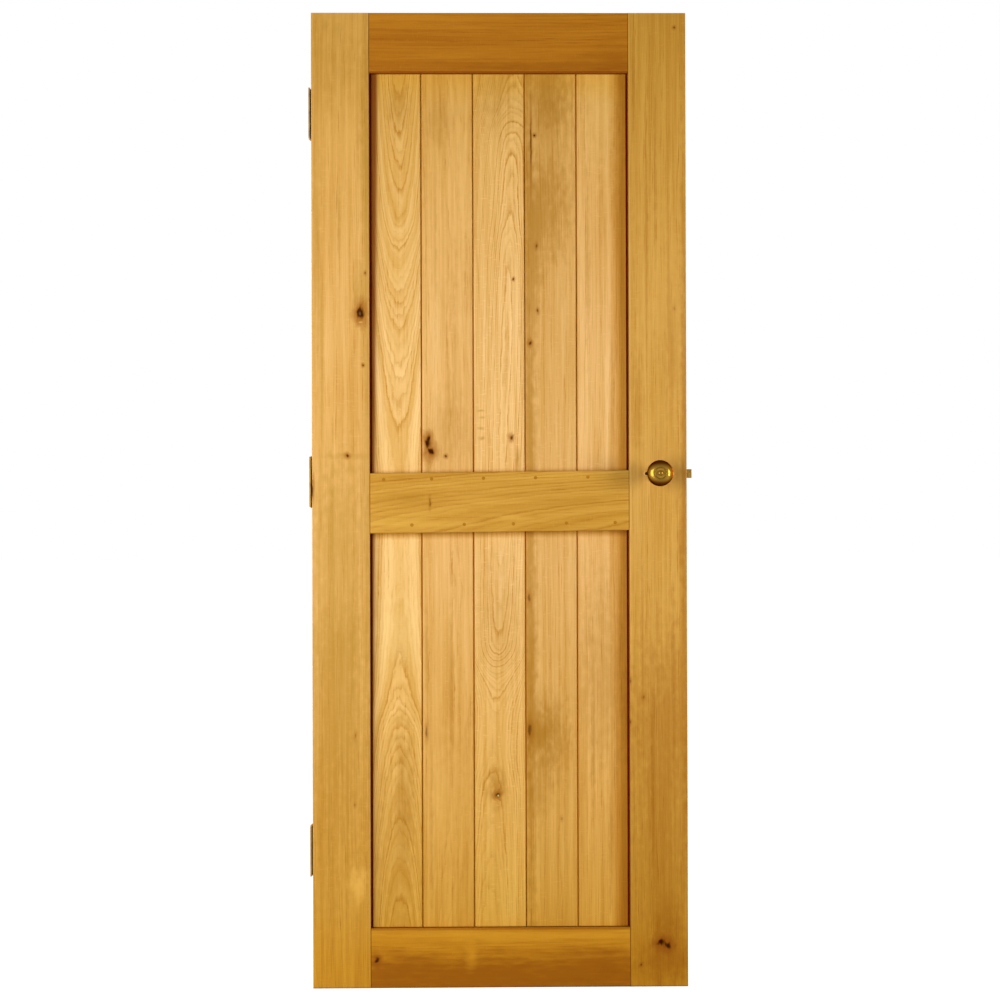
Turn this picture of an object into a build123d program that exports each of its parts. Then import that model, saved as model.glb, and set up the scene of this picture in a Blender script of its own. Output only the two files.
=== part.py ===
from build123d import *
import os
from math import atan2, cos, radians, sin, sqrt

os.makedirs("parts", exist_ok=True)

# Oak door leaf: a mortice-and-tenon frame around tongued, grooved and V-jointed boards, with a pegged
# mid rail on each face, a turned brass knob on each side working a mortice latch, and three butt hinges.
# Millimetres. X runs across the leaf from the hinges to the latch, the front face looks along -Y, Z is up.
# The origin is the middle of the leaf's bottom edge, halfway through its thickness.

# Leaf
LEAF_WIDTH = 762.0
LEAF_HEIGHT = 1981.0
LEAF_THICKNESS = 44.0

# Frame members
STILE_WIDTH = 117.5
TOP_RAIL_WIDTH = 122.0
BOTTOM_RAIL_WIDTH = 120.5
ARRIS_RADIUS = 1.5

# Mid rail: a thin oak rail on each face, laid on the boards and flush with the stiles
MID_RAIL_WIDTH = 122.3
MID_RAIL_HEIGHT = 922.5
MID_RAIL_RISE = 5.3
MID_RAIL_EDGE_RADIUS = 3.0
STUB_LENGTH = 10.0
STUB_WIDTH = 80.0
STUB_THICKNESS = 6.0

# Groove round the inside of the frame, and the joints of the frame
GROOVE_DEPTH = 12.0
TENON_THICKNESS = 15.0
HAUNCH_WIDTH = 32.0
WEDGE_LENGTH = 50.0
WEDGE_THICKNESS = 5.0
WEDGE_TIP = 0.8
JOINT_FIT = 0.1

# Chip out of the hinge stile's front arris
CHIP_HEIGHT = 1015.0
CHIP_LENGTH = 30.0
CHIP_DEPTH = 2.2

# Boards
BOARD_COUNT = 5
BOARD_THICKNESS = 20.0
TONGUE_THICKNESS = 7.0
TONGUE_REACH = 7.0
TONGUE_FIT = 0.1
TONGUE_END_ROOM = 0.6
V_DEPTH = 2.5
SHOULDER_GAP = 0.8
STILE_GAP = 4.6
RAIL_GAP = 1.5
EDGE_TONGUE_ROOM = 2.0

# Pegs: each board has one near the rail's top edge and one near its bottom edge, placed by eye
PEG_RADIUS = 3.5
PEG_FIT = 0.05
TOP_PEG_OFFSETS = (28.0, 20.0, 20.0, 20.5, 21.5)
BOTTOM_PEG_OFFSETS = (85.0, 86.0, 80.5, 83.0, 77.0)
TOP_PEG_INSET = 13.0
BOTTOM_PEG_INSET = 16.0

# Hinges
HINGE_LENGTH = 102.0
HINGE_GAP = 3.0
FLAP_THICKNESS = 3.0
FLAP_REACH = 36.0
KNUCKLE_RADIUS = 5.5
KNUCKLE_COUNT = 5
KNUCKLE_GAP = 0.3
HINGE_AXIS_OFFSET = 6.0
PIN_RADIUS = 3.0
PIN_FIT = 0.05
PIN_TIP_RADIUS = 4.6
PIN_TIP_HEIGHT = 2.5
TOP_HINGE_INSET = 150.0
BOTTOM_HINGE_INSET = 225.0
FLAP_HOLE_RADIUS = 2.6
FLAP_HOLE_HEAD_RADIUS = 4.6
FLAP_HOLE_SPACING = 50.0
OUTER_HOLE_REACH = 28.0
INNER_HOLE_REACH = 14.0
FLAP_SCREW_LENGTH = 32.0

# Screws of the hinges, forend and roses
SCREW_FIT = 0.1
SCREW_SLOT_WIDTH = 0.9
SCREW_SLOT_DEPTH = 0.9

# Knobs: radii from the spindle's axis and heights from the leaf's face
KNOB_HEIGHT = 1043.0
BACKSET = 57.0
SPIGOT_RADIUS = 9.5
SPIGOT_START = 1.5
NECK_CLEARANCE = 0.4
SHOULDER_RADIUS = 12.0
SHOULDER_EDGE = 1.0
COVE_HEIGHT = 2.5
COVE_HOLLOW = 0.6
NECK_RADIUS = 9.0
NECK_LENGTH = 9.0
KNOB_RADIUS = 26.5
KNOB_BACK = 26.0
KNOB_WIDEST = 38.0
KNOB_SHOULDER_HEIGHT = 49.0
KNOB_SHOULDER_OUT = 2.0
KNOB_FRONT = 55.0
RING_RADIUS = 12.5
RING_WIDTH = 2.4
RING_DEPTH = 1.4
BUTTON_RADIUS = 4.5
BUTTON_GROOVE_WIDTH = 1.6
BUTTON_GROOVE_DEPTH = 0.7
BUTTON_STEP = 0.3
SOCKET_DEPTH = 34.0
SOCKET_ROOM = 0.5

# Roses
ROSE_RADIUS = 22.0
ROSE_THICKNESS = 6.5
ROSE_EDGE = 2.2
ROSE_BEAD_RADIUS = 1.2
ROSE_PLATE_RISE = 0.6
ROSE_COLLAR_RADIUS = 14.0
ROSE_CURVE_WIDTH = 4.0
ROSE_CURVE_HOLLOW = 1.2
ROSE_CURVE_LIFT = 0.9
ROSE_FIT = 0.3
ROSE_EAR_RADIUS = 5.6
ROSE_EAR_THICKNESS = 3.0
ROSE_SCREW_LEVEL = 2.8
ROSE_SCREW_RADIUS = 25.0
ROSE_SCREW_HOLE = 1.8
ROSE_SCREW_HEAD = 3.4
ROSE_SCREW_LENGTH = 15.0
SPINDLE_SIDE = 8.0
SPINDLE_FIT = 0.05
GRUB_RADIUS = 2.0
GRUB_LENGTH = 3.6
GRUB_KEY_RADIUS = 1.3

# Latch
CASE_LENGTH = 76.0
CASE_HALF_HEIGHT = 14.0
CASE_HALF_WIDTH = 8.0
CASE_WALL = 1.6
MORTICE_ROOM = 0.4
FOREND_HEIGHT = 57.0
FOREND_WIDTH = 25.0
FOREND_THICKNESS = 3.0
FOREND_CORNER = 6.25
FOREND_SCREW_HEIGHT = 21.0
FOREND_SCREW_HOLE = 2.1
FOREND_SCREW_HEAD = 3.8
FOREND_SCREW_LENGTH = 22.0
BOLT_THROW = 12.0
BOLT_HALF_WIDTH = 6.0
BOLT_HALF_HEIGHT = 9.0
BOLT_HEAD_BACK = 19.0
BOLT_NOSE_FLAT = 2.0
BOLT_FIT = 0.3
KNOB_TURN = 72.0
FOLLOWER_BOSS_RADIUS = 7.0
FOLLOWER_FIT = 0.05
LOBE_RADIUS = 10.2
LOBE_TIP_RADIUS = 1.8
LOBE_ARM_HALF_WIDTH = 1.0
LOBE_HALF_THICKNESS = 2.6
LOBE_PLAY = 0.3
YOKE_PLATE_INNER = 3.0
YOKE_PLATE_OUTER = 4.8
YOKE_ARM_INNER = 7.5
YOKE_ARM_OUTER = 12.1
YOKE_EAR_LENGTH = 5.0
BULKHEAD_THICKNESS = 1.5
SPRING_RADIUS = 4.2
SPRING_WIRE_RADIUS = 0.5
SPRING_TURNS = 6
SPRING_GUIDE_RADIUS = 2.6
SPRING_GUIDE_LENGTH = 8.0
SPINDLE_HOLE_RADIUS = 8.5

# Worked out from the sizes above
HALF_WIDTH = LEAF_WIDTH / 2
FACE = LEAF_THICKNESS / 2
OPENING = HALF_WIDTH - STILE_WIDTH
OPENING_TOP = LEAF_HEIGHT - TOP_RAIL_WIDTH
OPENING_BOTTOM = BOTTOM_RAIL_WIDTH
BOARD_FACE = BOARD_THICKNESS / 2
BOARD_COVER = 2 * OPENING / BOARD_COUNT
GROOVE_HALF = TONGUE_THICKNESS / 2 + TONGUE_FIT
TENON_HALF = TENON_THICKNESS / 2
HINGE_AXIS_X = -HALF_WIDTH - HINGE_GAP / 2
HINGE_AXIS_Y = FACE + HINGE_AXIS_OFFSET
HINGE_HEIGHTS = {
    "lower": BOTTOM_HINGE_INSET + HINGE_LENGTH / 2,
    "middle": (BOTTOM_HINGE_INSET + LEAF_HEIGHT - TOP_HINGE_INSET) / 2,
    "upper": LEAF_HEIGHT - TOP_HINGE_INSET - HINGE_LENGTH / 2,
}
KNOB_X = HALF_WIDTH - BACKSET
CASE_BACK_X = HALF_WIDTH - CASE_LENGTH
CASE_FRONT_X = HALF_WIDTH - FOREND_THICKNESS
BOLT_HEAD_X = HALF_WIDTH - BOLT_HEAD_BACK
LOBE_LEAN = KNOB_TURN / 2
LOBE_REST_X = LOBE_RADIUS * sin(radians(LOBE_LEAN))
YOKE_EAR_X = KNOB_X + LOBE_REST_X - LOBE_TIP_RADIUS - LOBE_PLAY
BULKHEAD_X = KNOB_X + LOBE_RADIUS + LOBE_TIP_RADIUS + 4 * LOBE_PLAY


def block(x0, x1, y0, y1, z0, z1):
    """A box between two corners."""
    centre = Pos((x0 + x1) / 2, (y0 + y1) / 2, (z0 + z1) / 2)
    return centre * Box(abs(x1 - x0), abs(y1 - y0), abs(z1 - z0))


def rod(x, y, z, radius, length, direction):
    """A cylinder that starts at a point and runs along a direction."""
    plane = Plane(origin=(x, y, z), z_dir=direction)
    return extrude(plane * Circle(radius), length)


def screw(x, y, z, direction, shank_radius, head_radius, length, clearance=0.0):
    """A countersunk slotted screw whose head is flush at the point; with a clearance, the hole it needs."""
    plane = Plane(origin=(x, y, z), z_dir=direction)
    head_depth = head_radius - shank_radius
    rim = head_radius + clearance
    shank = shank_radius + clearance
    tip = length if clearance == 0 else length + 1
    with BuildPart() as made:
        with BuildSketch(Plane.XZ):
            with BuildLine():
                Polyline(
                    (0, 0),
                    (rim, 0),
                    (shank, head_depth),
                    (shank, tip - 3 * shank_radius),
                    (0, tip),
                    close=True,
                )
            make_face()
        revolve(axis=Axis.Z)
    body = made.part
    if clearance == 0:
        slot = Box(2 * head_radius + 1, SCREW_SLOT_WIDTH, 2 * SCREW_SLOT_DEPTH)
        body = body - slot
    return plane.location * body


def dome_arc(radius, base, height):
    """The arc of a round top, centred on the axis, from its foot at the radius to its crown."""
    ball = (radius**2 + height**2) / (2 * height)
    centre = base + height - ball
    angle = atan2(radius, base - centre) / 2
    middle = (ball * sin(angle), centre + ball * cos(angle))
    return ThreePointArc((radius, base), middle, (0, base + height))


def write(shape, name):
    export_step(shape, f"parts/{name}.step")


# Frame of the leaf


def long_member(x0, x1, z0, z1, along):
    """A sawn oak member with its four long edges lightly rounded."""
    bar = block(x0, x1, -FACE, FACE, z0, z1)
    return fillet(bar.edges().filter_by(along), ARRIS_RADIUS)


def rail_levels(name):
    """Outer edge, inner edge and the direction from the inner edge towards the outer one."""
    if name == "top":
        return LEAF_HEIGHT, OPENING_TOP, 1
    return 0.0, OPENING_BOTTOM, -1


def tenon(name, side, clearance=0.0):
    """Through tenon with its haunch, on one side of the top or bottom rail."""
    outer, inner, up = rail_levels(name)
    near = side * (OPENING - (0 if clearance else 1))
    low = inner + up * (GROOVE_DEPTH - clearance)
    high = outer - up * (HAUNCH_WIDTH - clearance)
    tongue = block(near, side * HALF_WIDTH, -TENON_HALF - clearance, TENON_HALF + clearance, low, high)
    haunch_reach = OPENING + GROOVE_DEPTH
    haunch = block(near, side * haunch_reach, -GROOVE_HALF, GROOVE_HALF, high, outer)
    return tongue if clearance else tongue + haunch


def wedge(name, side, above, clearance=0.0):
    """An oak wedge above or below a through tenon, driven in from the leaf's long edge."""
    outer, inner, up = rail_levels(name)
    edge = outer - up * HAUNCH_WIDTH if above else inner + up * GROOVE_DEPTH
    away = up if above else -up
    start = edge + away * JOINT_FIT
    far = side * HALF_WIDTH
    tip = side * (HALF_WIDTH - WEDGE_LENGTH - clearance)
    thick = WEDGE_THICKNESS + clearance
    thin = WEDGE_TIP + clearance
    if clearance:
        start = edge
    outline = make_face(
        Polyline(
            (far, start),
            (far, edge + away * (JOINT_FIT + thick)),
            (tip, edge + away * (JOINT_FIT + thin)),
            (tip, start),
            close=True,
        )
    )
    half = TENON_HALF + clearance
    return extrude(Plane.XZ * outline, half, both=True)


def groove(x0, x1, z0, z1):
    return block(x0, x1, -GROOVE_HALF, GROOVE_HALF, z0, z1)


def cross_rail(name):
    outer, inner, up = rail_levels(name)
    rail = long_member(-OPENING, OPENING, min(outer, inner), max(outer, inner), Axis.X)
    rail -= groove(-OPENING - 1, OPENING + 1, inner, inner + up * GROOVE_DEPTH)
    for side in (-1, 1):
        rail += tenon(name, side)
    return rail


def mid_rail_edge(x, inset):
    """Height at x of a line parallel to the mid rail's lower edge, inset from it."""
    slope = MID_RAIL_RISE / (2 * OPENING)
    return MID_RAIL_HEIGHT + inset + slope * (x + OPENING)


def sloping_bar(x0, x1, low, high, y0, y1):
    """A bar that follows the mid rail's slope between two insets."""
    outline = make_face(
        Polyline(
            (x0, mid_rail_edge(x0, low)),
            (x1, mid_rail_edge(x1, low)),
            (x1, mid_rail_edge(x1, high)),
            (x0, mid_rail_edge(x0, high)),
            close=True,
        )
    )
    bar = extrude(Plane.XZ * outline, abs(y1 - y0))
    return Pos(0, max(y0, y1), 0) * bar


def stub_tenon(side, face, clearance=0.0):
    """The stub on one end of a mid rail; face is -1 for the front rail and 1 for the back one."""
    low = (MID_RAIL_WIDTH - STUB_WIDTH) / 2 - clearance
    high = (MID_RAIL_WIDTH + STUB_WIDTH) / 2 + clearance
    middle = face * (FACE + BOARD_FACE) / 2
    half = STUB_THICKNESS / 2 + clearance
    inner = OPENING - (0 if clearance else 1)
    outer = OPENING + STUB_LENGTH + clearance
    x0, x1 = sorted((side * inner, side * outer))
    return sloping_bar(x0, x1, low, high, middle - half, middle + half)


def peg_places():
    """Middles of the pegs, as (x, z)."""
    places = []
    for i in range(BOARD_COUNT):
        left = -OPENING + i * BOARD_COVER
        top_x = left + TOP_PEG_OFFSETS[i]
        bottom_x = left + BOTTOM_PEG_OFFSETS[i]
        places.append((top_x, mid_rail_edge(top_x, MID_RAIL_WIDTH - TOP_PEG_INSET)))
        places.append((bottom_x, mid_rail_edge(bottom_x, BOTTOM_PEG_INSET)))
    return places


def mid_rail(face):
    """The front mid rail (-1) or the back one (1)."""
    y0, y1 = sorted((face * BOARD_FACE, face * FACE))
    rail = sloping_bar(-OPENING, OPENING, 0, MID_RAIL_WIDTH, y0, y1)
    outer_edges = rail.edges().filter_by(GeomType.LINE).filter_by(
        lambda e: abs(e.center().Y - face * FACE) < 0.01 and e.length > OPENING
    )
    rail = fillet(outer_edges, MID_RAIL_EDGE_RADIUS)
    for side in (-1, 1):
        rail += stub_tenon(side, face)
    for x, z in peg_places():
        rail -= rod(x, -FACE - 1, z, PEG_RADIUS + PEG_FIT, LEAF_THICKNESS + 2, (0, 1, 0))
    return rail


def pegs():
    made = []
    for x, z in peg_places():
        made.append(rod(x, -FACE, z, PEG_RADIUS, LEAF_THICKNESS, (0, 1, 0)))
    return Compound(children=made)


def stile(side):
    """The hinge stile (-1) or the latch stile (1), grooved and morticed for rails and boards."""
    x0, x1 = sorted((side * OPENING, side * HALF_WIDTH))
    bar = long_member(x0, x1, 0, LEAF_HEIGHT, Axis.Z)
    g0, g1 = sorted((side * OPENING, side * (OPENING + GROOVE_DEPTH)))
    bar -= groove(g0, g1, -1, LEAF_HEIGHT + 1)
    for name in ("top", "bottom"):
        bar -= tenon(name, side, JOINT_FIT)
        for above in (True, False):
            bar -= wedge(name, side, above, JOINT_FIT)
    for face in (-1, 1):
        bar -= stub_tenon(side, face, JOINT_FIT)
    return bar


def tenon_wedges():
    made = []
    for name in ("top", "bottom"):
        for side in (-1, 1):
            for above in (True, False):
                made.append(wedge(name, side, above))
    return Compound(children=made)


# Boards


def board(i):
    """One tongued, grooved and V-jointed board; the outer boards have tongues in the stiles' grooves."""
    first, last = i == 0, i == BOARD_COUNT - 1
    left_joint = -OPENING + i * BOARD_COVER
    right_joint = left_joint + BOARD_COVER
    left = left_joint + (STILE_GAP if first else SHOULDER_GAP / 2)
    right = right_joint - (STILE_GAP if last else SHOULDER_GAP / 2)
    left_v = 0 if first else V_DEPTH
    right_v = 0 if last else V_DEPTH
    half = TONGUE_THICKNESS / 2
    slot = half + TONGUE_FIT
    groove_x = left + TONGUE_REACH + TONGUE_END_ROOM
    edge_tongue = GROOVE_DEPTH - EDGE_TONGUE_ROOM
    right_tip = right_joint + edge_tongue if last else right + TONGUE_REACH
    front = [(left + left_v, -BOARD_FACE), (right - right_v, -BOARD_FACE)]
    if right_v:
        front.append((right, -BOARD_FACE + right_v))
    tongue = [(right, -half), (right_tip, -half), (right_tip, half), (right, half)]
    back = [(right, BOARD_FACE - right_v)] if right_v else []
    back += [(right - right_v, BOARD_FACE), (left + left_v, BOARD_FACE)]
    if left_v:
        back.append((left, BOARD_FACE - left_v))
    if first:
        tip = left_joint - edge_tongue
        left_side = [(left, half), (tip, half), (tip, -half), (left, -half)]
    else:
        left_side = [(left, slot), (groove_x, slot), (groove_x, -slot), (left, -slot)]
    if left_v:
        left_side.append((left, -BOARD_FACE + left_v))
    section = make_face(Polyline(*front, *tongue, *back, *left_side, close=True))
    reach = GROOVE_DEPTH - EDGE_TONGUE_ROOM
    bottom = OPENING_BOTTOM - reach
    top = OPENING_TOP + reach
    plank = Pos(0, 0, bottom) * extrude(section, top - bottom)
    for z0, z1 in ((bottom - 1, OPENING_BOTTOM + RAIL_GAP), (OPENING_TOP - RAIL_GAP, top + 1)):
        for face in (-1, 1):
            plank -= block(
                left_joint - LEAF_THICKNESS,
                right_joint + LEAF_THICKNESS,
                face * half,
                face * (BOARD_FACE + 1),
                z0,
                z1,
            )
    for x, z in peg_places():
        if left < x < right:
            plank -= rod(x, -FACE, z, PEG_RADIUS + PEG_FIT, LEAF_THICKNESS, (0, 1, 0))
    return plank


# Hinges


def on_axis(z, radius, length):
    """An upright cylinder on the hinges' axis."""
    return rod(HINGE_AXIS_X, HINGE_AXIS_Y, z, radius, length, (0, 0, 1))


def knuckle_bounds(index):
    """Lower and upper end of one knuckle, from the hinge's middle."""
    pitch = HINGE_LENGTH / KNUCKLE_COUNT
    low = -HINGE_LENGTH / 2 + index * pitch
    return low + KNUCKLE_GAP / 2, low + pitch - KNUCKLE_GAP / 2


def flap_holes(owner):
    """Staggered screw holes of a flap, as (reach from the pin's axis, height); turned over on the leaf."""
    step = FLAP_HOLE_SPACING / 2
    heights = (-3 * step / 2, -step / 2, step / 2, 3 * step / 2)
    reaches = (OUTER_HOLE_REACH, INNER_HOLE_REACH)
    turned = 0 if owner == "frame" else 1
    return [(reaches[(i + turned) % 2], heights[i]) for i in range(4)]


def flap(owner, height):
    """A hinge flap with its knuckles: the frame's has the end knuckles, the leaf's fits between them."""
    side = -1 if owner == "frame" else 1
    inner_x = HINGE_AXIS_X + side * HINGE_GAP / 2
    outer_x = inner_x + side * FLAP_THICKNESS
    z0 = height - HINGE_LENGTH / 2
    z1 = height + HINGE_LENGTH / 2
    plate = block(inner_x, outer_x, HINGE_AXIS_Y - FLAP_REACH, HINGE_AXIS_Y, z0, z1)
    own = 0 if owner == "frame" else 1
    for i in range(KNUCKLE_COUNT):
        low, high = knuckle_bounds(i)
        barrel = height + low
        if i % 2 == own:
            plate += on_axis(barrel, KNUCKLE_RADIUS, high - low)
        else:
            room = high - low + 2 * KNUCKLE_GAP
            plate -= on_axis(barrel - KNUCKLE_GAP, KNUCKLE_RADIUS + KNUCKLE_GAP, room)
    plate -= on_axis(z0 - 1, PIN_RADIUS + PIN_FIT, HINGE_LENGTH + 2)
    for reach, rise in flap_holes(owner):
        y = HINGE_AXIS_Y - reach
        plate -= flap_screw(inner_x, y, height + rise, side, FLAP_HOLE_RADIUS, SCREW_FIT)
    return plate


def flap_screw(x, y, z, side, shank_radius, clearance=0.0):
    direction = (side, 0, 0)
    return screw(x, y, z, direction, shank_radius, FLAP_HOLE_HEAD_RADIUS, FLAP_SCREW_LENGTH, clearance)


def leaf_screws(height, clearance=0.0):
    """The four screws of one leaf flap, or the holes they need in the stile."""
    made = []
    for reach, rise in flap_holes("leaf"):
        y = HINGE_AXIS_Y - reach
        shank_radius = FLAP_HOLE_RADIUS - SCREW_FIT
        made.append(flap_screw(-HALF_WIDTH, y, height + rise, 1, shank_radius, clearance))
    return made


def hinge_pin(height):
    z0 = height - HINGE_LENGTH / 2
    pin = on_axis(z0, PIN_RADIUS, HINGE_LENGTH)
    foot = (PIN_TIP_RADIUS, 0)
    crown = (0, PIN_TIP_HEIGHT)
    outline = Line((0, 0), foot) + dome_arc(PIN_TIP_RADIUS, 0, PIN_TIP_HEIGHT) + Line(crown, (0, 0))
    tip = revolve(Plane.XZ * make_face(outline), Axis.Z)
    pin += Pos(HINGE_AXIS_X, HINGE_AXIS_Y, z0 + HINGE_LENGTH) * tip
    pin += Pos(HINGE_AXIS_X, HINGE_AXIS_Y, z0) * mirror(tip, Plane.XY)
    return pin


def hinge_screws():
    made = []
    for height in HINGE_HEIGHTS.values():
        made += leaf_screws(height)
    return Compound(children=made)


def chip():
    """A shallow scoop along the hinge stile's front arris."""
    half = CHIP_LENGTH / 2
    radius = (half**2 + CHIP_DEPTH**2) / (2 * CHIP_DEPTH)
    out = (radius - CHIP_DEPTH) / sqrt(2)
    scoop = rod(0, 0, -FACE, radius, 2 * FACE, (0, 0, 1))
    plane = Plane(origin=(-HALF_WIDTH - out, -FACE - out, CHIP_HEIGHT), x_dir=(0, 0, 1), z_dir=(1, -1, 0))
    return plane.location * scoop


def hinge_stile():
    bar = stile(-1)
    for height in HINGE_HEIGHTS.values():
        bar -= block(
            -HALF_WIDTH - 1,
            -HALF_WIDTH + FLAP_THICKNESS,
            HINGE_AXIS_Y - FLAP_REACH,
            FACE + 1,
            height - HINGE_LENGTH / 2,
            height + HINGE_LENGTH / 2,
        )
        bar -= on_axis(height - HINGE_LENGTH / 2, KNUCKLE_RADIUS + KNUCKLE_GAP, HINGE_LENGTH)
        for hole in leaf_screws(height, SCREW_FIT):
            bar -= hole
    return bar - chip()


# Latch


def latch_stile():
    bar = stile(1)
    half_width = CASE_HALF_WIDTH + MORTICE_ROOM
    half_height = CASE_HALF_HEIGHT + MORTICE_ROOM
    bar -= centred(CASE_BACK_X - MORTICE_ROOM, HALF_WIDTH + 1, half_width, half_height)
    bar -= forend_blank(CASE_FRONT_X, HALF_WIDTH + 1, JOINT_FIT)
    bar -= rod(KNOB_X, -FACE - 1, KNOB_HEIGHT, SPINDLE_HOLE_RADIUS, LEAF_THICKNESS + 2, (0, 1, 0))
    for up in (-1, 1):
        bar -= forend_screw(up, SCREW_FIT)
    for hole in both_faces([rose_screw(across, SCREW_FIT) for across in (-1, 1)]):
        bar -= hole
    return bar


def forend_blank(x0, x1, clearance=0.0):
    """The latch's end plate, with round ends, between two x positions."""
    width = FOREND_WIDTH + 2 * clearance
    height = FOREND_HEIGHT + 2 * clearance
    outline = RectangleRounded(width, height, FOREND_CORNER)
    plane = Plane(origin=(x0, 0, KNOB_HEIGHT), x_dir=(0, 1, 0), z_dir=(1, 0, 0))
    return extrude(plane * outline, x1 - x0)


def forend_screw(up, clearance=0.0):
    return screw(
        HALF_WIDTH,
        0,
        KNOB_HEIGHT + up * FOREND_SCREW_HEIGHT,
        (-1, 0, 0),
        FOREND_SCREW_HOLE,
        FOREND_SCREW_HEAD,
        FOREND_SCREW_LENGTH,
        clearance,
    )


def forend():
    plate = forend_blank(CASE_FRONT_X, HALF_WIDTH)
    half_width = BOLT_HALF_WIDTH + BOLT_FIT
    plate -= centred(CASE_FRONT_X - 1, HALF_WIDTH + 1, half_width, BOLT_HALF_HEIGHT + BOLT_FIT)
    for up in (-1, 1):
        plate -= forend_screw(up, SCREW_FIT)
    return plate


def centred(x0, x1, half_width, half_height):
    """A box between two x positions, centred on the spindle's level and on the leaf's thickness."""
    return block(x0, x1, -half_width, half_width, KNOB_HEIGHT - half_height, KNOB_HEIGHT + half_height)


def latch_case():
    inner_width = CASE_HALF_WIDTH - CASE_WALL
    inner_height = CASE_HALF_HEIGHT - CASE_WALL
    wall_width = inner_width + CASE_WALL / 2
    shell = centred(CASE_BACK_X, CASE_FRONT_X, CASE_HALF_WIDTH, CASE_HALF_HEIGHT)
    shell -= centred(CASE_BACK_X + CASE_WALL, CASE_FRONT_X + 1, inner_width, inner_height)
    shell += centred(BULKHEAD_X, BULKHEAD_X + BULKHEAD_THICKNESS, wall_width, YOKE_ARM_INNER - BOLT_FIT)
    reach = CASE_HALF_WIDTH + 1
    shell -= rod(KNOB_X, -reach, KNOB_HEIGHT, FOLLOWER_BOSS_RADIUS + FOLLOWER_FIT, 2 * reach, (0, 1, 0))
    return shell


def latch_bolt():
    """The bevelled bolt, its two side plates and the ears that the follower's lobes push back."""
    z = KNOB_HEIGHT
    tip = HALF_WIDTH + BOLT_THROW
    outline = make_face(
        Polyline(
            (BOLT_HEAD_X, -BOLT_HALF_WIDTH),
            (HALF_WIDTH, -BOLT_HALF_WIDTH),
            (tip, BOLT_HALF_WIDTH - BOLT_NOSE_FLAT),
            (tip, BOLT_HALF_WIDTH),
            (BOLT_HEAD_X, BOLT_HALF_WIDTH),
            close=True,
        )
    )
    bolt = Pos(0, 0, z - BOLT_HALF_HEIGHT) * extrude(outline, 2 * BOLT_HALF_HEIGHT)
    ear_back = YOKE_EAR_X - YOKE_EAR_LENGTH
    neck = BOLT_HEAD_X + BULKHEAD_THICKNESS
    for up in (-1, 1):
        low = z + up * YOKE_ARM_INNER
        high = z + up * YOKE_ARM_OUTER
        for side in (-1, 1):
            bolt += block(ear_back, neck, side * YOKE_PLATE_INNER, side * YOKE_PLATE_OUTER, low, high)
        bolt += block(ear_back, YOKE_EAR_X, -YOKE_PLATE_OUTER, YOKE_PLATE_OUTER, low, high)
    bolt += centred(BOLT_HEAD_X, neck, YOKE_PLATE_OUTER, YOKE_ARM_OUTER)
    guide_start = BOLT_HEAD_X - SPRING_GUIDE_LENGTH
    bolt += rod(guide_start, 0, z, SPRING_GUIDE_RADIUS, SPRING_GUIDE_LENGTH + 1, (1, 0, 0))
    return bolt


def latch_follower():
    """The hub that the spindle turns, with two lobes leaning towards the bolt."""
    z = KNOB_HEIGHT
    hub = rod(KNOB_X, -CASE_HALF_WIDTH, z, FOLLOWER_BOSS_RADIUS, 2 * CASE_HALF_WIDTH, (0, 1, 0))
    for up in (-1, 1):
        lean = 90 - LOBE_LEAN
        thickness = 2 * LOBE_HALF_THICKNESS
        arm = Pos(LOBE_RADIUS / 2, 0, 0) * Box(LOBE_RADIUS, thickness, 2 * LOBE_ARM_HALF_WIDTH)
        round_tip = rod(LOBE_RADIUS, -LOBE_HALF_THICKNESS, 0, LOBE_TIP_RADIUS, thickness, (0, 1, 0))
        hub += Pos(KNOB_X, 0, z) * Rot(0, -up * lean, 0) * (arm + round_tip)
    side = SPINDLE_SIDE + 2 * SPINDLE_FIT
    hub -= Pos(KNOB_X, 0, z) * Box(side, 2 * CASE_HALF_WIDTH + 2, side)
    return hub


def latch_spring():
    """Compression spring between the case's cross wall and the bolt, with its wire's ends just clear."""
    start = BULKHEAD_X + BULKHEAD_THICKNESS + SPRING_WIRE_RADIUS + BOLT_FIT / 3
    end = BOLT_HEAD_X - SPRING_WIRE_RADIUS - BOLT_FIT / 3
    length = end - start
    coil = Helix(pitch=length / SPRING_TURNS, height=length, radius=SPRING_RADIUS)
    wire = sweep(Plane(origin=coil @ 0, z_dir=coil % 0) * Circle(SPRING_WIRE_RADIUS), path=coil)
    plane = Plane(origin=(start, 0, KNOB_HEIGHT), x_dir=(0, 1, 0), z_dir=(1, 0, 0))
    return plane.location * wire


def spindle():
    reach = FACE + SOCKET_DEPTH
    return Pos(KNOB_X, 0, KNOB_HEIGHT) * Box(SPINDLE_SIDE, 2 * reach, SPINDLE_SIDE)


# Knobs and roses, made for the front face, and the same turned half round for the back one


def to_back(body):
    """A body made for the front face, turned half round the spindle's middle to the back face."""
    return Pos(KNOB_X, 0, 0) * Rot(0, 0, 180) * Pos(-KNOB_X, 0, 0) * body


def both_faces(bodies):
    return bodies + [to_back(body) for body in bodies]


def turned(profile):
    """Revolves a sketch drawn as radius and height, and stands it on the leaf's front face."""
    plane = Plane(origin=(KNOB_X, -FACE, KNOB_HEIGHT), x_dir=(0, 0, 1), z_dir=(0, -1, 0))
    return plane.location * revolve(Plane.XZ * profile, Axis.Z)


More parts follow.
